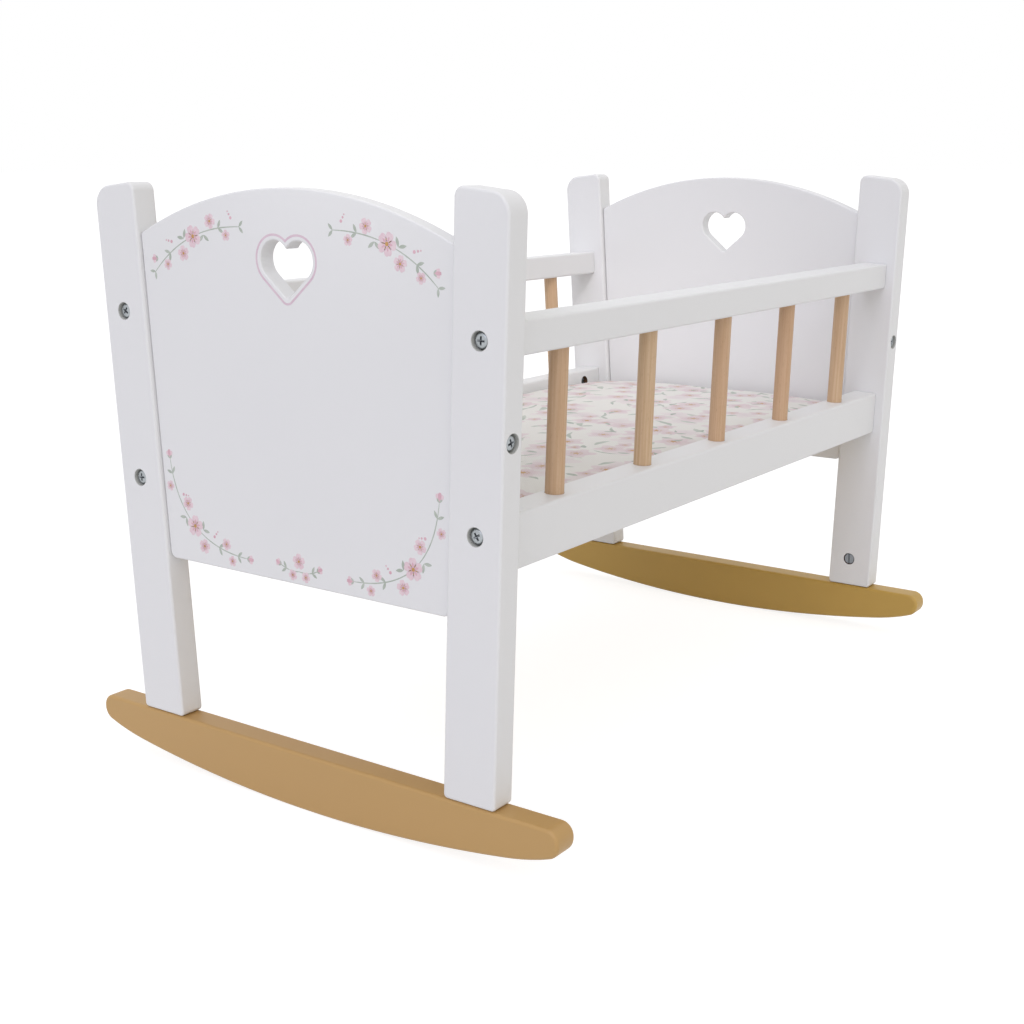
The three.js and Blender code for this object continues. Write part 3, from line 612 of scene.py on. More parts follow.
def screw_shape(name, sink_depth, length):
    """A pan-head screw along +z: domed head with a rounded rim, plain shank and blunt tip."""
    top, rim = sink_depth - HEAD_HEIGHT, HEAD_RIM_RADIUS
    head, shank, tip = HEAD_DIAMETER / 2, SHANK_DIAMETER / 2, sink_depth + length
    angles = np.linspace(0, math.pi / 2, 7)
    dome = [(share * (head - rim), top + HEAD_DOME * share ** 2) for share in (0.02, 0.35, 0.7)]
    curve = [(head - rim + rim * math.sin(a), top + HEAD_DOME + rim * (1 - math.cos(a))) for a in angles]
    end = [(head, sink_depth), (shank, sink_depth), (shank, tip - SHANK_TIP), (shank - SHANK_TIP, tip)]
    rings = turned_rings(dome + curve + end, HARDWARE_STEPS)
    piece = make_piece(name, [(rings, 0)], [bright_zinc])
    return carve(piece, [(cross_drive() + np.array([0.0, 0.0, top]), dull_zinc)])


def nut_shape(name, length, bore_height):
    """A barrel nut along +z: chamfered rims, a cross bore along x and a screwdriver slot in its end."""
    radius, ease = NUT_DIAMETER / 2, NUT_EASE
    profile = [(radius - ease, 0), (radius, ease), (radius, length - ease), (radius - ease, length)]
    rings = turned_rings(profile, HARDWARE_STEPS)
    piece = make_piece(name, [(rings, 0)], [dull_zinc])
    bore = turned_rings([(SHANK_DIAMETER / 2 + FIT_GAP, -radius - OVERRUN),
                         (SHANK_DIAMETER / 2 + FIT_GAP, radius + OVERRUN)], NUT_BORE_STEPS)
    reach, half = radius + OVERRUN, NUT_SLOT_WIDTH / 2
    square = np.array([(-reach, -half), (reach, -half), (reach, half), (-reach, half)])
    slot = np.array([np.column_stack([square, np.full(4, height)])
                     for height in (length - NUT_SLOT_DEPTH, length + OVERRUN)])
    return carve(piece, [(aimed(bore, (0, 0, bore_height), (1, 0, 0)), dull_zinc), (slot, dull_zinc)])


def copy_of(pattern, name, place):
    """A copy of a pattern piece whose points go through the place function, in millimetres."""
    mesh = pattern.data.copy()
    points = np.empty(len(mesh.vertices) * 3)
    mesh.vertices.foreach_get("co", points)
    mesh.vertices.foreach_set("co", (place(points.reshape(-1, 3) / MM) * MM).ravel())
    mesh.update()
    piece = bpy.data.objects.new(name, mesh)
    bpy.context.scene.collection.objects.link(piece)
    return piece


# Posts, rails and dowels of the two sides

def post_outline():
    """A post's flat: the foot is cut level, and the top has a small inner and a large outer round."""
    def foot(y):
        return (FIT_GAP - y * math.sin(LEAN)) / math.cos(LEAN)
    return rounded([(0, foot(0), POST_FOOT_RADIUS), (POST_WIDTH, foot(POST_WIDTH), POST_FOOT_RADIUS),
                    (POST_WIDTH, POST_LENGTH, POST_INNER_TOP_RADIUS),
                    (0, POST_LENGTH - POST_TOP_DROP, POST_OUTER_TOP_RADIUS)], POST_FILLET_STEPS)


def make_posts(side):
    """A side's two posts, with the holes of their bolts, panel screw and rocker nut."""
    for towards in (-1, 1):
        outer = towards * CRADLE_LENGTH / 2
        start = outer if towards < 0 else POST_INNER_X
        rings = slab_rings(post_outline(), start, POST_THICKNESS, POST_EDGE_RADIUS)
        name = f"{end_of(side, towards)}_{side}_post"
        piece = make_piece(name + "_board", [(to_row(rings, side), 0)], [white_lacquer])
        foot_y, foot_z = POST_WIDTH / 2, -POST_WIDTH / 2 * math.tan(LEAN)
        upright = np.array([0, math.sin(LEAN), math.cos(LEAN)])
        nut_at = np.array([outer - towards * POST_THICKNESS, foot_y, foot_z]) + upright * ROCKER_NUT_HEIGHT
        bolt_rise = ROCKER_NUT_HEIGHT + NUT_DIAMETER / 2 + PAST_NUT + OVERRUN
        mid_x = outer - towards * POST_THICKNESS / 2
        inwards = (-towards, 0, 0)
        rail_hole = screw_hole(SINK_DEPTH, RAIL_BOLT_LENGTH)
        # the bolt and screw holes take painted grey shade on their walls, and the nut and bolt holes raw wood
        # darkened as painted shade
        holes = [
            (aimed(rail_hole, (outer, RAIL_MID_Y, LOWER_BOLT), inwards), painted_shade_grey_hole_wall),
            (aimed(rail_hole, (outer, RAIL_MID_Y, UPPER_BOLT), inwards), painted_shade_grey_hole_wall),
            (aimed(screw_hole(SINK_DEPTH, PANEL_SCREW_LENGTH),
                   (towards * PANEL_MID_X, 0, PANEL_SCREW_HEIGHT), (0, 1, 0)), painted_shade_grey_hole_wall),
            (aimed(plain_hole(NUT_DIAMETER + 2 * FIT_GAP, ROCKER_NUT_RECESS + ROCKER_NUT_LENGTH + FIT_GAP),
                   nut_at, (towards, 0, 0)), raw_wood_and_painted_shade),
            (aimed(plain_hole(SHANK_DIAMETER + 2 * FIT_GAP, bolt_rise), (mid_x, foot_y, foot_z), upright),
             raw_wood_and_painted_shade),
        ]
        carve(piece, [(to_row(rings, side), material) for rings, material in holes])
        finish_piece(piece, "cradle", "white_painted_wood", name)


def rail_outline(bottom, height):
    """A rail's section: a rectangle with four rounded corners, set in from the post's outer edge."""
    outer, inner = RAIL_INSET, RAIL_INSET + RAIL_THICKNESS
    return rounded([(outer, bottom, RAIL_EDGE_RADIUS), (inner, bottom, RAIL_EDGE_RADIUS),
                    (inner, bottom + height, RAIL_EDGE_RADIUS), (outer, bottom + height, RAIL_EDGE_RADIUS)])


def make_rail(side, level, bottom, height, bolt_height):
    """A rail with its dowel sockets, end bolt holes and nut holes; the lower one also holds the board."""
    rings = slab_rings(rail_outline(bottom, height), -RAIL_HALF_LENGTH, 2 * RAIL_HALF_LENGTH,
                       RAIL_END_RADIUS)
    name = f"{side}_{level}_rail"
    piece = make_piece(name + "_bar", [(to_row(rings, side), 0)], [white_lacquer])
    bolt_hole = screw_hole(SINK_DEPTH, RAIL_BOLT_LENGTH)
    # the walls of the bolt holes, dowel sockets and nut holes: raw wood darkened as painted shade
    holes = [(aimed(bolt_hole, (end * CRADLE_LENGTH / 2, RAIL_MID_Y, bolt_height), (-end, 0, 0)), raw_wood_and_painted_shade)
             for end in (-1, 1)]
    lower = level == "lower"
    socket = plain_hole(DOWEL_DIAMETER + FIT_GAP, DOWEL_SOCKET + FIT_GAP)
    socket_face, socket_way = (bottom + height, (0, 0, -1)) if lower else (bottom, (0, 0, 1))
    holes += [(aimed(socket, (x, RAIL_MID_Y + DOWEL_SHIFT, socket_face), socket_way), raw_wood_and_painted_shade)
              for x in DOWEL_PLACES]
    nut_bore = NUT_DIAMETER + 2 * FIT_GAP
    if lower:
        depth = RAIL_THICKNESS / 2 + NUT_LENGTH / 2 + FIT_GAP
        face, way = (RAIL_INSET + RAIL_THICKNESS, bolt_height), (0, -1, 0)
    else:
        depth = height / 2 + NUT_LENGTH / 2 + FIT_GAP
        face, way = (RAIL_MID_Y, bottom), (0, 0, 1)
    holes += [(aimed(plain_hole(nut_bore, depth), (end * NUT_X, *face), way), raw_wood_and_painted_shade) for end in (-1, 1)]
    carve(piece, [(to_row(rings, side), material) for rings, material in holes])
    if lower:
        carve(piece, [(groove_rings(), white_lacquer)])
    finish_piece(piece, "cradle", "white_painted_wood", name)


def groove_rings():
    """The base board's own box with its clearance all round, as the cutter of the rails' grooves."""
    low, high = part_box("base_board")
    y = high.y / MM + FIT_GAP
    z = (low.z / MM - FIT_GAP, high.z / MM + FIT_GAP)
    square = np.array([(-y, z[0]), (y, z[0]), (y, z[1]), (-y, z[1])])
    x = RAIL_HALF_LENGTH + OVERRUN
    return np.array([np.column_stack([np.full(4, end), square]) for end in (-x, x)])


def make_dowels(side):
    """Round bars with eased ends between the rails."""
    bottom = LOWER_BOTTOM + LOWER_HEIGHT - DOWEL_SOCKET + FIT_GAP
    length = UPPER_BOTTOM + DOWEL_SOCKET - FIT_GAP - bottom
    radius, ease = DOWEL_DIAMETER / 2, DOWEL_EASE
    profile = [(radius - ease, 0), (radius, ease)]
    profile += [(radius, share * length) for share in (0.25, 0.5, 0.75)]
    profile += [(radius, length - ease), (radius - ease, length)]
    for index, x in enumerate(DOWEL_PLACES):
        rings = to_row(aimed(turned_rings(profile), (x, RAIL_MID_Y + DOWEL_SHIFT, bottom), (0, 0, 1)), side)
        count = index + 1 if side == "right" else DOWEL_COUNT - index
        name = f"{side}_dowel_{count}"
        piece = make_piece(name + "_bar", [(rings, 0)], [dowel_woods[side]])
        finish_piece(piece, "cradle", "natural_dowel_wood", name)


# End panels and their heart

def heart_outline(grow=0.0, steps=18):
    """A heart: two arcs of the lobe radius, tangent sides and a tip, moved outwards by grow.

    The sides rise from the tip at the angle that makes them tangent to the lobes.
    """
    radius = HEART_LOBE_RADIUS + grow
    drop = HEART_TIP_DROP + grow / math.cos(HEART_SIDE_ANGLE)
    notch = math.pi - math.acos(HEART_LOBE_OFFSET / radius)
    angles = np.linspace(HEART_SIDE_ANGLE - math.pi / 2, notch, steps + 1)
    lobe = np.column_stack([HEART_LOBE_OFFSET + radius * np.cos(angles), radius * np.sin(angles)])
    other = lobe[::-1][1:] * np.array([-1, 1])
    below = [(0, -drop, HEART_TIP_RADIUS + grow), (lobe[0, 0], lobe[0, 1], 0), (-lobe[0, 0], lobe[0, 1], 0)]
    tip = rounded(below, 8)[:9]
    return np.concatenate([tip, lobe, other]) + np.array([0, HEART_CENTRE + ROCKER_HEIGHT])


def heart_cutter(start):
    """The heart's prism, flared at both faces by quarter rounds so that the cut's rims are eased."""
    angles = np.linspace(0, math.pi / 2, EDGE_STEPS + 1)
    grows = HEART_EDGE_RADIUS * (1 - np.sin(angles))
    depths = HEART_EDGE_RADIUS * (1 - np.cos(angles))
    grows = np.concatenate([[HEART_EDGE_RADIUS], grows, grows[::-1], [HEART_EDGE_RADIUS]])
    depths = np.concatenate([[-OVERRUN], depths, PANEL_THICKNESS - depths[::-1], [PANEL_THICKNESS + OVERRUN]])
    return np.array([np.column_stack([np.full(len(heart_outline()), start + depth), heart_outline(grow)])
                     for grow, depth in zip(grows, depths)])


def panel_outline():
    """Straight sides that follow the posts, and an arch that rises between the shoulders as one arc."""
    low = inner_y(PANEL_BOTTOM, POST_WIDTH) - FIT_GAP
    wide = inner_y(PANEL_SHOULDER, POST_WIDTH) - FIT_GAP
    radius = (wide ** 2 + PANEL_RISE ** 2) / (2 * PANEL_RISE)
    centre = PANEL_SHOULDER + PANEL_RISE - radius
    angles = np.linspace(1, -1, 73) * math.asin(wide / radius)
    corners = [(-low, PANEL_BOTTOM, PANEL_CORNER_RADIUS), (low, PANEL_BOTTOM, PANEL_CORNER_RADIUS)]
    corners += [(radius * math.sin(a), centre + radius * math.cos(a), 0) for a in angles]
    return rounded(corners) + np.array([0, ROCKER_HEIGHT])


def make_panel(end):
    """An end panel with its heart and the holes of its two screws."""
    start = -CRADLE_LENGTH / 2 + PANEL_SETBACK
    if end == "far":
        start = -start - PANEL_THICKNESS
    rings = slab_rings(panel_outline(), start, PANEL_THICKNESS, PANEL_EDGE_RADIUS)
    name = f"{end}_end_panel"
    piece = make_piece(name + "_board", [(rings, 0)], [white_lacquer])
    holes = [(heart_cutter(start), white_lacquer)]
    # the screw holes' walls: raw wood darkened as painted shade
    for side in ("right", "left"):
        towards = -1 if end_of(side, -1) == end else 1
        hole = aimed(screw_hole(SINK_DEPTH, PANEL_SCREW_LENGTH),
                     (towards * PANEL_MID_X, 0, PANEL_SCREW_HEIGHT), (0, 1, 0))
        holes.append((to_row(hole, side), raw_wood_and_painted_shade))
    carve(piece, holes)
    finish_piece(piece, "cradle", "white_painted_wood", name)


# Rockers

def rocker_outline():
    """Flat top, the curve beneath, and blunt ends with rounded corners."""
    end, tip = ROCKER_HALF_LENGTH, float(curve_height(ROCKER_HALF_LENGTH))
    stations = np.linspace(-1, 1, 61) * end
    stations = stations[np.abs(stations) < end - ROCKER_UNDERSIDE_RADIUS]
    beneath = [(y, float(curve_height(y)), 0) for y in stations]
    return rounded([(-end, tip, ROCKER_UNDERSIDE_RADIUS), *beneath, (end, tip, ROCKER_UNDERSIDE_RADIUS),
                    (end, ROCKER_HEIGHT, ROCKER_TOP_RADIUS), (-end, ROCKER_HEIGHT, ROCKER_TOP_RADIUS)])


def make_rocker(end):
    """A rocker with the holes of its two bolts, counterbored from beneath."""
    start = -CRADLE_LENGTH / 2 if end == "near" else POST_INNER_X
    rings = slab_rings(rocker_outline(), start, POST_THICKNESS, ROCKER_EDGE_RADIUS)
    name = f"{end}_rocker"
    # the far rocker takes the yellower copy of the tan lacquer, which paints shade and bounced light onto it
    lacquer = rocker_lacquer_and_shaded_copy[end]
    piece = make_piece(name + "_runner", [(rings, 0)], [lacquer])
    sink, length = rocker_bolt_sizes()
    hole = screw_hole(sink, length)
    mid = start + POST_THICKNESS / 2
    carve(piece, [(aimed(hole, (mid, y, 0), (0, 0, 1)), lacquer)
                  for y in (-ROCKER_BOLT_Y, ROCKER_BOLT_Y)])
    finish_piece(piece, "cradle", "tan_painted_wood", name)


def rocker_bolt_sizes():
    """Depth of the head's seat above the floor, and the bolt's length past it."""
    sink = float(curve_height(ROCKER_BOLT_Y)) + ROCKER_SINK
    return sink, ROCKER_HEIGHT - sink + ROCKER_NUT_HEIGHT + NUT_DIAMETER / 2 + PAST_NUT


# Screws, bolts and barrel nuts

def make_fasteners():
    """Every screw, bolt and barrel nut, as copies of five patterns in their places."""
    rail_bolt = screw_shape("rail_bolt_pattern", SINK_DEPTH, RAIL_BOLT_LENGTH)
    panel_screw = screw_shape("panel_screw_pattern", SINK_DEPTH, PANEL_SCREW_LENGTH)
    sink, length = rocker_bolt_sizes()
    rocker_bolt = screw_shape("rocker_bolt_pattern", sink, length)
    rail_nut = nut_shape("rail_nut_pattern", NUT_LENGTH, NUT_LENGTH / 2)
    seat_depth = POST_THICKNESS - ROCKER_NUT_RECESS - ROCKER_NUT_LENGTH
    foot_nut = nut_shape("foot_nut_pattern", ROCKER_NUT_LENGTH, POST_THICKNESS / 2 - seat_depth)

    def seat(pattern, node, side, place, direction, twist=0.0):
        """Puts a copy of a pattern in a side's frame, or upright in the cradle's own frame."""
        spin = np.array(Matrix.Rotation(twist, 3, "Z"))

        def move(points):
            aimed_points = aimed(points @ spin.T, place, direction)
            return to_row(aimed_points, side) if side else aimed_points

        piece = copy_of(pattern, node + "_part", move)
        finish_piece(piece, "cradle", "zinc_plated_steel", node)

    nut_base = RAIL_MID_Y - NUT_LENGTH / 2
    for side in ("right", "left"):
        for towards in (-1, 1):
            at = f"{end_of(side, towards)}_{side}"
            outer, inwards = towards * CRADLE_LENGTH / 2, (-towards, 0, 0)
            turn = 0.5 + 1.1 * towards
            seat(rail_bolt, at + "_lower_rail_bolt", side, (outer, RAIL_MID_Y, LOWER_BOLT), inwards, turn)
            seat(rail_bolt, at + "_upper_rail_bolt", side, (outer, RAIL_MID_Y, UPPER_BOLT), inwards,
                 turn + 0.6)
            seat(panel_screw, at + "_panel_screw", side,
                 (towards * PANEL_MID_X, 0, PANEL_SCREW_HEIGHT), (0, 1, 0), turn + 0.3)
            seat(rail_nut, at + "_lower_rail_nut", side, (towards * NUT_X, nut_base, LOWER_BOLT), (0, 1, 0))
            seat(rail_nut, at + "_upper_rail_nut", side,
                 (towards * NUT_X, RAIL_MID_Y, UPPER_BOLT + NUT_LENGTH / 2), (0, 0, -1))
    for end, towards in (("near", -1), ("far", 1)):
        outer = towards * CRADLE_LENGTH / 2
        for side, y in (("right", -ROCKER_BOLT_Y), ("left", ROCKER_BOLT_Y)):
            seat(rocker_bolt, f"{end}_{side}_rocker_bolt", None,
                 (outer - towards * POST_THICKNESS / 2, y, 0), (0, 0, 1), 0.4)
            seat(foot_nut, f"{end}_{side}_rocker_nut", None,
                 (outer - towards * seat_depth, y, ROCKER_HEIGHT + ROCKER_NUT_HEIGHT), (-towards, 0, 0))
    for pattern in (rail_bolt, panel_screw, rocker_bolt, rail_nut, foot_nut):
        bpy.data.objects.remove(pattern)


# Printed decoration of the near end panel: outlines on its face, in millimetres

def petal(length, width):
    """A rounded petal from its base at the origin: x = length (1 - cos a) / 2, less a notch at its tip,
    and y = width / 2 sin a, narrower towards the base."""
    a = np.linspace(0, 2 * math.pi, 18, endpoint=False)
    along = length * (1 - np.cos(a)) / 2 - 0.1 * length * np.exp(-((a - math.pi) / 0.3) ** 2)
    return np.column_stack([along, -width / 2 * np.sin(a) * (0.62 + 0.38 * along / length)])


def leaf(length, width):
    """A pointed leaf from its base: y = +-width / 2 sin(pi x / length)^0.9."""
    x = np.linspace(0, 1, 9)
    half = width / 2 * np.sin(math.pi * np.clip(x, 0.001, 0.999)) ** 0.9
    lower, upper = np.column_stack([x * length, -half]), np.column_stack([x * length, half])
    return np.concatenate([lower[:-1], upper[:0:-1]])


def spot(radius):
    """A small disc round the origin."""
    a = np.linspace(0, 2 * math.pi, 12, endpoint=False)
    return radius * np.column_stack([np.cos(a), np.sin(a)])


def shifted(outline, at, turn=0.0):
    """An outline turned by an angle in degrees and moved."""
    c, s = math.cos(math.radians(turn)), math.sin(math.radians(turn))
    return outline @ np.array([[c, s], [-s, c]]) + np.array(at, float)


def blossom(at, radius, turn):
    """Five petals with a rose blush at their base, an ochre eye and five stamen dots."""
    parts = []
    for number in range(5):
        angle = turn + 72 * number
        away = shifted(np.array([[radius * 0.1, 0.0]]), at, angle)[0]
        tip = shifted(np.array([[radius * 0.36, 0.0]]), at, angle + 36)[0]
        parts.append((shifted(petal(radius * 0.9, radius * 0.92), away, angle), 0.06, PETAL))
        parts.append((shifted(leaf(radius * 0.5, radius * 0.2), away, angle), 0.08, ROSE))
        parts.append((shifted(spot(radius * 0.055), tip), 0.1, OCHRE))
    return parts + [(shifted(spot(radius * 0.17), at), 0.1, OCHRE)]


def bud(at, size, turn):
    """A closed bud: three overlapping narrow petals in a pair of sepals."""
    parts = [(shifted(petal(size, size * 0.55), at, turn + fan), 0.06, PETAL) for fan in (-24, 24)]
    parts.append((shifted(petal(size * 1.1, size * 0.5), at, turn), 0.08, ROSE))
    return parts + [(shifted(leaf(size * 0.55, size * 0.22), at, turn + fan), 0.1, SAGE) for fan in (-40, 40)]


def leaf_pair(at, length, turn):
    """Two leaves that spread from one point."""
    return [(shifted(leaf(length, length * 0.36), at, turn + fan), 0.05, SAGE) for fan in (-48, 48)]


def berry(at, radius, turn):
    """Three dots in a row, each smaller than the last."""
    dots = ((1.0, 0.0), (0.75, 2.6), (0.5, 4.6))
    places = shifted(np.array([[step * radius, 0.0] for _, step in dots]), at, turn)
    return [(shifted(spot(radius * share), place), 0.06, ROSE) for (share, _), place in zip(dots, places)]


def arc_point(controls, share):
    """Place and direction on a quadratic curve: (1-s)^2 a + 2s(1-s) b + s^2 c."""
    a, b, c = (np.array(point, float) for point in controls)
    place = (1 - share) ** 2 * a + 2 * share * (1 - share) * b + share ** 2 * c
    ahead = 2 * (1 - share) * (b - a) + 2 * share * (c - b)
    return place, ahead / np.linalg.norm(ahead)


def stem(controls, first, last, width):
    """A ribbon of the given width along part of a quadratic curve, narrower at both ends."""
    places, normals = [], []
    for share in np.linspace(first, last, 21):
        place, ahead = arc_point(controls, share)
        places.append(place)
        normals.append((-ahead[1], ahead[0]))
    places, normals = np.array(places), np.array(normals)
    half = width / 2 * (0.35 + 0.65 * np.sin(np.linspace(0.02, math.pi - 0.02, 21)) ** 0.5)[:, None]
    return np.concatenate([places - normals * half, (places + normals * half)[::-1]])


# Each garland is a curve of (across, height above the rockers) points with motifs beside it:
# motif, share along the curve, distance from it, size, turn from the curve's direction.
TOP_GARLAND = (((33, 281), (74, 281), (100, 255)), (
    (leaf_pair, 0.0, 0, 4.4, 180), (berry, 0.07, 4.6, 0.85, 60), (blossom, 0.13, -4.2, 3.1, 20),
    (leaf_pair, 0.2, 0, 4.8, 170), (blossom, 0.27, 4.4, 4.2, 50), (leaf_pair, 0.36, -1.5, 5.2, -80),
    (blossom, 0.47, 0, 6.3, 10), (leaf_pair, 0.57, 1.5, 5.2, 80), (blossom, 0.63, -5.2, 4.4, 35),
    (berry, 0.7, 4.4, 0.9, 40), (leaf_pair, 0.76, 0, 4.8, 0), (blossom, 0.84, -3.6, 3.2, 15),
    (bud, 0.9, 3.4, 4.6, 40), (leaf_pair, 0.99, 0, 4.4, 0)))
CORNER_GARLAND = (((97, 152), (91, 104), (38, 103)), (
    (bud, 0.0, 0, 5.0, 180), (leaf_pair, 0.09, 0, 4.6, 170), (blossom, 0.16, 4.2, 3.1, 0),
    (berry, 0.25, -4.0, 0.85, -60), (blossom, 0.33, -4.6, 4.2, 30), (leaf_pair, 0.4, 2.0, 5.2, 80),
    (blossom, 0.5, 0, 6.4, 18), (leaf_pair, 0.58, -2.6, 5.2, -70), (blossom, 0.64, 5.2, 4.4, 40),
    (berry, 0.7, -4.2, 0.9, -70), (leaf_pair, 0.76, 0, 4.8, 0), (blossom, 0.82, -4.0, 3.6, 10),
    (blossom, 0.88, 4.0, 3.1, 50), (leaf_pair, 0.92, 0, 4.4, 5), (bud, 0.99, 0, 4.8, 0)))
MIDDLE_SPRIG = (((13, 104), (7, 101), (0, 102)), (
    (bud, 0.0, 0, 4.2, 180), (leaf_pair, 0.3, 0, 4.2, 180), (blossom, 0.66, 2.2, 3.2, 25)))


def panel_print_outlines():
    """Every printed outline with its height and ink, for the panel's left half and, mirrored, its right."""
    parts = []
    for controls, motifs in (TOP_GARLAND, CORNER_GARLAND, MIDDLE_SPRIG):
        parts.append((stem(controls, 0.0, 0.46, 0.65), 0.04, SAGE))
        parts.append((stem(controls, 0.48, 1.0, 0.65), 0.04, SAGE))
        for motif, share, beside, size, turn in motifs:
            place, ahead = arc_point(controls, share)
            heading = math.degrees(math.atan2(ahead[1], ahead[0]))
            parts += motif(place + beside * np.array([-ahead[1], ahead[0]]), size, heading + turn)
    mirrored = [(outline[::-1] * np.array([-1, 1]), height, ink) for outline, height, ink in parts]
    return parts + mirrored + blossom((0, 107.5), 4.6, 90)


def make_panel_print():
    """Thin closed layers of ink on the near end panel's face, and the line round its heart."""
    face = -CRADLE_LENGTH / 2 + PANEL_SETBACK
    lift = np.array([0, ROCKER_HEIGHT])
    parts = []
    root, line_top = face + INK_ROOT, face - INK_HEIGHT
    for outline, height, ink in panel_print_outlines():
        layers = [np.column_stack([np.full(len(outline), x), outline + lift]) for x in (face - height, root)]
        parts.append((np.array(layers), ink))
    outer, inner = heart_outline(HEART_LINE_REACH), heart_outline(HEART_LINE_START)
    band = [np.column_stack([np.full(len(ring), x), ring])
            for ring, x in ((outer, line_top), (outer, root), (inner, root), (inner, line_top))]
    parts.append((np.array(band), DUSKY, True))
    piece = make_piece("near_panel_print", parts, inks)
    piece.data.set_sharp_from_angle(angle=math.radians(35))
    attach(piece, "cradle")


# Mattress: a foam slab in a sewn cotton cover

def mattress_plan(room):
    """The mattress's plan: a rectangle with round corners, whose sides draw in by d (1 - s^2) between."""
    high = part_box("mattress")[1] / MM
    half = np.array([high.x - room, high.y - room])
    corners = [(sx * half[0], sy * half[1], MATTRESS_CORNER_RADIUS)
               for sx, sy in ((-1, -1), (1, -1), (1, 1), (-1, 1))]
    outline = rounded(corners, 10)
    closed = np.concatenate([outline, outline[:1]])
    run = np.concatenate([[0], np.cumsum(np.linalg.norm(np.diff(closed, axis=0), axis=1))])
    stations = np.linspace(0, run[-1], 240, endpoint=False)
    plan = np.column_stack([np.interp(stations, run, closed[:, axis]) for axis in (0, 1)])
    share = plan / half
    return plan - MATTRESS_DRAW_IN * (1 - share[:, ::-1] ** 2) * np.sign(share) * np.abs(share) ** 6


def mattress_rings():
    """Rings from the middle of the underside over both quarter-round rims to the middle of the crowned top.

    The top rises by crown (1 - s^2), with s the share from its middle to its rim.
    """
    low, high = (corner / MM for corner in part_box("mattress"))
    plan = mattress_plan(STUFFING_ROOM)
    bottom, rim_top = low.z + STUFFING_ROOM, high.z - SOLID_CROWN + RIM_RAISE
    angles = np.linspace(0, math.pi / 2, 6)
    core = inset(plan, MATTRESS_RIM)
    shares = np.linspace(0.04, 0.96, 14)
    levels = [(core * s, bottom) for s in shares]
    levels += [(inset(plan, MATTRESS_RIM * (1 - math.sin(a))), bottom + MATTRESS_RIM * (1 - math.cos(a)))
               for a in angles]
    levels += [(inset(plan, MATTRESS_RIM * (1 - math.sin(a))), rim_top - MATTRESS_RIM * (1 - math.cos(a)))
               for a in angles[::-1]]
    levels += [(core * s, rim_top + MATTRESS_CROWN * (1 - s ** 2)) for s in shares[::-1]]
    return np.array([np.column_stack([ring, np.full(len(ring), height)]) for ring, height in levels])


def mesh_points(piece):
    """A piece's points as an array, in millimetres."""
    points = np.empty(len(piece.data.vertices) * 3)
    piece.data.vertices.foreach_get("co", points)
    return points.reshape(-1, 3) / MM


def move_points(piece, points):
    """Puts an array of points in millimetres back into the piece."""
    piece.data.vertices.foreach_set("co", (points * MM).ravel())
    piece.data.update()


def swell(piece):
    """Cloth under the stuffing's pressure, for twenty frames; no point moves further than the limit."""
    scene = bpy.context.scene
    before = mesh_points(piece)
    cloth = piece.modifiers.new("stuffed_cover", "CLOTH")
    cover = cloth.settings
    cover.quality = 6
    cover.mass = 0.3
    cover.tension_stiffness = cover.compression_stiffness = 12
    cover.bending_stiffness = 0.3
    cover.shrink_min = -0.035     # the cover is cut a little larger than the foam
    cover.use_pressure = True
    cover.uniform_pressure_force = STUFFING_PRESSURE
    cover.effector_weights.gravity = 0
    for number in range(1, 21):
        scene.frame_set(number)
    bake(piece)
    scene.frame_set(1)
    move = mesh_points(piece) - before
    length = np.linalg.norm(move, axis=1, keepdims=True)
    move_points(piece, before + move * np.minimum(1, SWELL_LIMIT / np.maximum(length, 1e-6)))


def sew(points):
    """Draws the cover in along its seam, halfway up the sides, with small puckers beside it.

    Inwards by d exp(-(h / w)^2), and in and out by p cos(2 pi t / pitch) exp(-|h| / reach), with h the height
    from the seam and t the place round the rim. The top rises by e (1 - (x / X)^2), halfway along, and sinks
    by c (x / X)^4 (y / Y)^4 at the corners. Returns the points, and where the print lies on each.
    """
    low, high = (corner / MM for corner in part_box("mattress"))
    inner = np.array([high.x, high.y]) - MATTRESS_CORNER_RADIUS
    out = points[:, :2] - np.clip(points[:, :2], -inner, inner)
    reach = np.linalg.norm(out, axis=1)
    way = out / np.maximum(reach, 1e-6)[:, None]
    beside = np.clip((reach - (MATTRESS_CORNER_RADIUS - MATTRESS_RIM - 2)) / MATTRESS_RIM, 0, 1)
    edge = high.z - SOLID_CROWN
    middle = (low.z + edge) / 2
    h = points[:, 2] - middle
    around = points[:, 0] + points[:, 1] * 0.9 + 14 * np.arctan2(points[:, 1], points[:, 0])
    groove = SEAM_DEPTH * np.exp(-(h / SEAM_WIDTH) ** 2)
    pucker = sum(depth * np.cos(2 * math.pi * around / pitch + phase) for depth, pitch, phase in PUCKERS)
    shift = -(groove + (PUCKER_MEAN + pucker) * np.exp(-np.abs(h) / PUCKER_REACH)) * beside
    sewn = points.copy()
    sewn[:, :2] += way * shift[:, None]
    sx, sy = points[:, 0] / high.x, points[:, 1] / high.y
    upper = np.clip(h / (edge - middle), 0, 1)
    sewn[:, 2] += upper * (EDGE_LIFT * (1 - sx ** 2) - CORNER_DROP * (sx * sy) ** 4)
    # the print's sides unroll outwards from the rims
    laid = np.zeros_like(points)
    laid[:, :2] = points[:, :2] + way * (beside * ((high.z - low.z) / 2 - np.abs(h)))[:, None]
    return sewn, laid


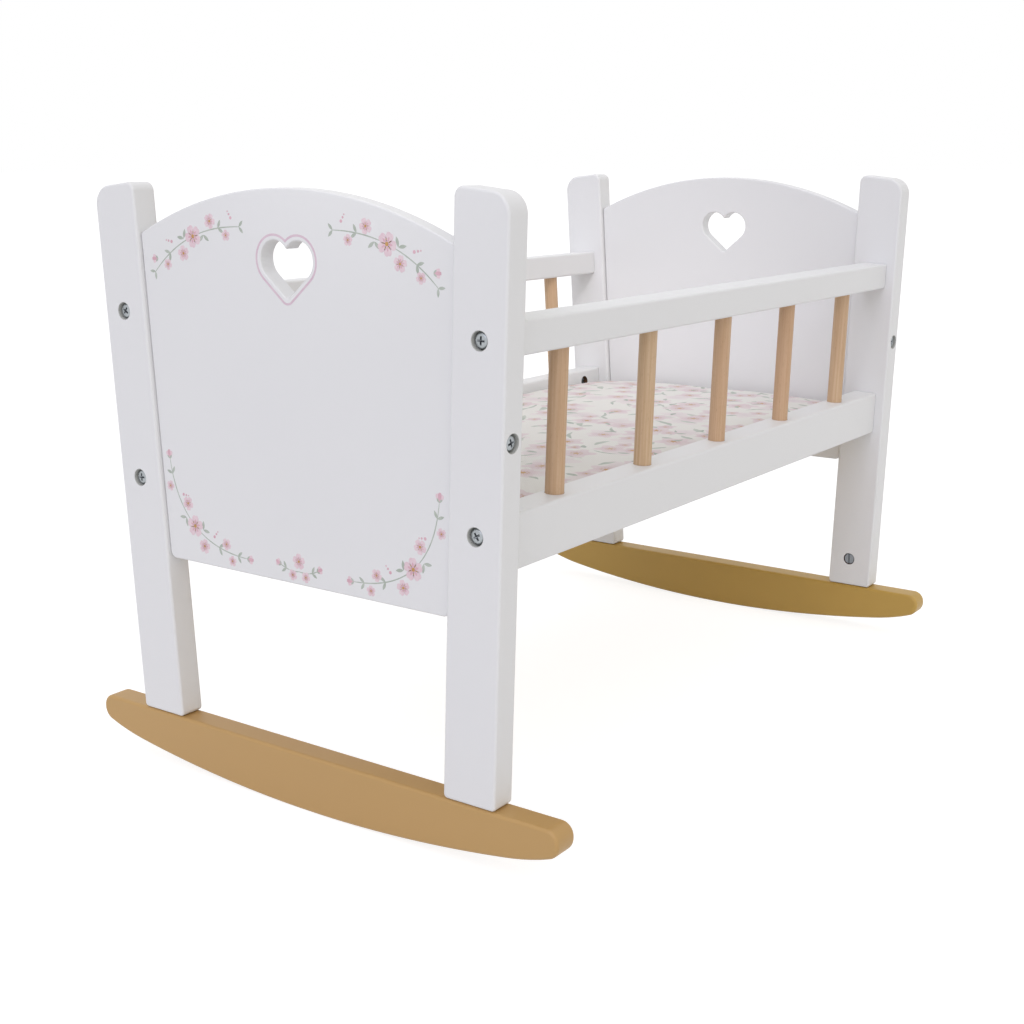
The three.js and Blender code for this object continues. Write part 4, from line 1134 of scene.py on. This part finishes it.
def make_mattress():
    """The slab, remeshed evenly, swollen by its stuffing, smoothed once and drawn in along its seam."""
    low, high = (np.array(corner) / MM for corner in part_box("mattress"))
    piece = make_piece("mattress_cover", [(mattress_rings(), 0)], [cover_cotton])
    even = piece.modifiers.new("even_mesh", "REMESH")
    even.mode, even.voxel_size, even.use_smooth_shade = "VOXEL", VOXEL * MM, True
    bake(piece)
    swell(piece)
    smooth = piece.modifiers.new("fine_mesh", "SUBSURF")
    smooth.levels = smooth.render_levels = 1
    bake(piece)
    sewn, laid = sew(mesh_points(piece))
    sewn = np.clip(sewn, low + np.array([COVER_GAP, COVER_GAP, 0.0]),
                   high + np.array([-COVER_GAP, -COVER_GAP, COVER_PROUD]))
    move_points(piece, sewn)
    place = piece.data.attributes.new("cloth_place", "FLOAT_VECTOR", "POINT")
    place.data.foreach_set("vector", (laid * MM).ravel())
    piece.data.materials.clear()
    piece.data.materials.append(cover_cotton)
    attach(piece, "mattress")
    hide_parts("mattress")


for hand in ("right", "left"):
    make_posts(hand)
    make_rail(hand, "lower", LOWER_BOTTOM, LOWER_HEIGHT, LOWER_BOLT)
    make_rail(hand, "upper", UPPER_BOTTOM, UPPER_HEIGHT, UPPER_BOLT)
    make_dowels(hand)
for end_name in ("near", "far"):
    make_panel(end_name)
    make_rocker(end_name)
make_fasteners()
make_panel_print()
make_mattress()
for material_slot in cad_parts["base_board"].material_slots:
    material_slot.material = board_wood


# Camera at the photograph's angle: place in millimetres, angles in degrees, and the focal length and the
# shifts as shares of the picture's width

CAMERA_PLACE = (-755.76, -538.38, 346.91)
CAMERA_YAW, CAMERA_PITCH, CAMERA_ROLL = -56.168, 11.191, -0.123
FOCAL_SHARE = 1446.054 / 1024
SHIFT_X, SHIFT_Y = -83.45 / 1024, -65.97 / 1024
SENSOR = 36.0

ROOM_LIGHT = 0.54
FLOOR_SHADE, FLOOR_GLOW = 0.35, 0.83
FLOOR_REACH, FLOOR_THICKNESS = 40000.0, 10.0
# name, colour, direction towards the lamp, strength, spread in degrees
LAMPS = (("front_softbox", "EAEAFF", (-1.0, -0.15, 0.75), 0.84, 50),
         ("side_softbox", "FFF8E8", (-0.3, -1.0, 0.6), 0.47, 60),
         ("top_softbox", "FFFFFF", (0.1, 0.2, 1.0), 0.52, 60))
# a small square lamp beyond the near end, aimed over its panel at the crib's inner faces: place, direction
# and side in millimetres, power in watts, spread in degrees
FILL_PLACE, FILL_AIM, FILL_SIDE = (-520.0, -176.0, 695.0), (300.0, 110.0, -215.0), 160.0
FILL_POWER, FILL_SPREAD = 0.05, 30


def make_camera():
    """The camera looks along its yaw and pitch, and rolls about that line."""
    yaw, pitch, roll = (math.radians(v) for v in (CAMERA_YAW, CAMERA_PITCH, CAMERA_ROLL))
    ahead = Vector((-math.sin(yaw) * math.cos(pitch), math.cos(yaw) * math.cos(pitch), -math.sin(pitch)))
    right = ahead.cross(Vector((0, 0, 1))).normalized()
    up = right.cross(ahead)
    turned_right = right * math.cos(roll) + up * math.sin(roll)
    turned_up = up * math.cos(roll) - right * math.sin(roll)
    camera_data = bpy.data.cameras.new("photo_camera")
    camera_data.sensor_width = SENSOR
    camera_data.lens = FOCAL_SHARE * SENSOR
    camera_data.shift_x, camera_data.shift_y = SHIFT_X, SHIFT_Y
    camera_data.clip_start, camera_data.clip_end = 0.01, 50.0
    camera = bpy.data.objects.new("photo_camera", camera_data)
    turn = Matrix((turned_right, turned_up, -ahead)).transposed()
    camera.matrix_world = Matrix.Translation(Vector(CAMERA_PLACE) * MM) @ turn.to_4x4()
    bpy.context.scene.collection.objects.link(camera)
    bpy.context.scene.camera = camera


def seen_or_lit(tree, seen, lit):
    """The first shader where the camera or a reflection looks, and the second where light bounces."""
    path = add(tree, "LightPath", out=None)
    looks = add(tree, "Math", {0: path["Is Camera Ray"], 1: path["Is Glossy Ray"]}, operation="MAXIMUM")
    looks = add(tree, "Math", {0: looks, 1: path["Is Transmission Ray"]}, operation="MAXIMUM")
    return add(tree, "MixShader", {0: looks, 1: lit, 2: seen})


def make_studio():
    """White floor and backdrop, even light from the whole room, three wide soft lamps and a small one."""
    scene = bpy.context.scene
    scene.view_settings.view_transform = "Standard"
    world = bpy.data.worlds.new("white_room")
    world.use_nodes = True
    scene.world = world
    tree = world.node_tree
    tree.nodes.clear()
    room = add(tree, "Background", {"Color": "FFFFFF", "Strength": ROOM_LIGHT})
    backdrop = add(tree, "Background", {"Color": "FFFFFF", "Strength": 1.0})
    add(tree, "OutputWorld", {"Surface": seen_or_lit(tree, backdrop, room)})

    floor_paint, tree = new_material("matt_white_studio_floor")
    # seen: paper white, which the cradle's shadow greys only where it stands close to the floor
    shade = add(tree, "BsdfDiffuse", {"Color": (FLOOR_SHADE,) * 3 + (1,)})
    glow = add(tree, "Emission", {"Color": "FFFFFF", "Strength": FLOOR_GLOW})
    paper = add(tree, "AddShader", {0: shade, 1: glow})
    matt = add(tree, "BsdfDiffuse", {"Color": (0.8, 0.8, 0.8, 1)})
    add(tree, "OutputMaterial", {"Surface": seen_or_lit(tree, paper, matt)})
    ring = FLOOR_REACH * np.array([(-1, -1), (1, -1), (1, 1), (-1, 1)])
    slab = np.array([np.column_stack([ring, np.full(4, height)]) for height in (-FLOOR_THICKNESS, 0.0)])
    make_piece("studio_floor", [(slab, 0)], [floor_paint])

    for name, colour, source, strength, spread in LAMPS:
        lamp_data = bpy.data.lights.new(name, "SUN")
        lamp_data.color = linear(colour)[:3]
        lamp_data.energy, lamp_data.angle = strength, math.radians(spread)
        lamp = bpy.data.objects.new(name, lamp_data)
        lamp.rotation_euler = (-Vector(source)).to_track_quat("-Z", "Y").to_euler()
        scene.collection.objects.link(lamp)
    fill_data = bpy.data.lights.new("crib_fill", "AREA")
    fill_data.energy, fill_data.size = FILL_POWER, FILL_SIDE * MM
    fill_data.spread = math.radians(FILL_SPREAD)
    fill = bpy.data.objects.new("crib_fill", fill_data)
    fill.location = Vector(FILL_PLACE) * MM
    fill.rotation_euler = Vector(FILL_AIM).to_track_quat("-Z", "Y").to_euler()
    scene.collection.objects.link(fill)


make_camera()
make_studio()
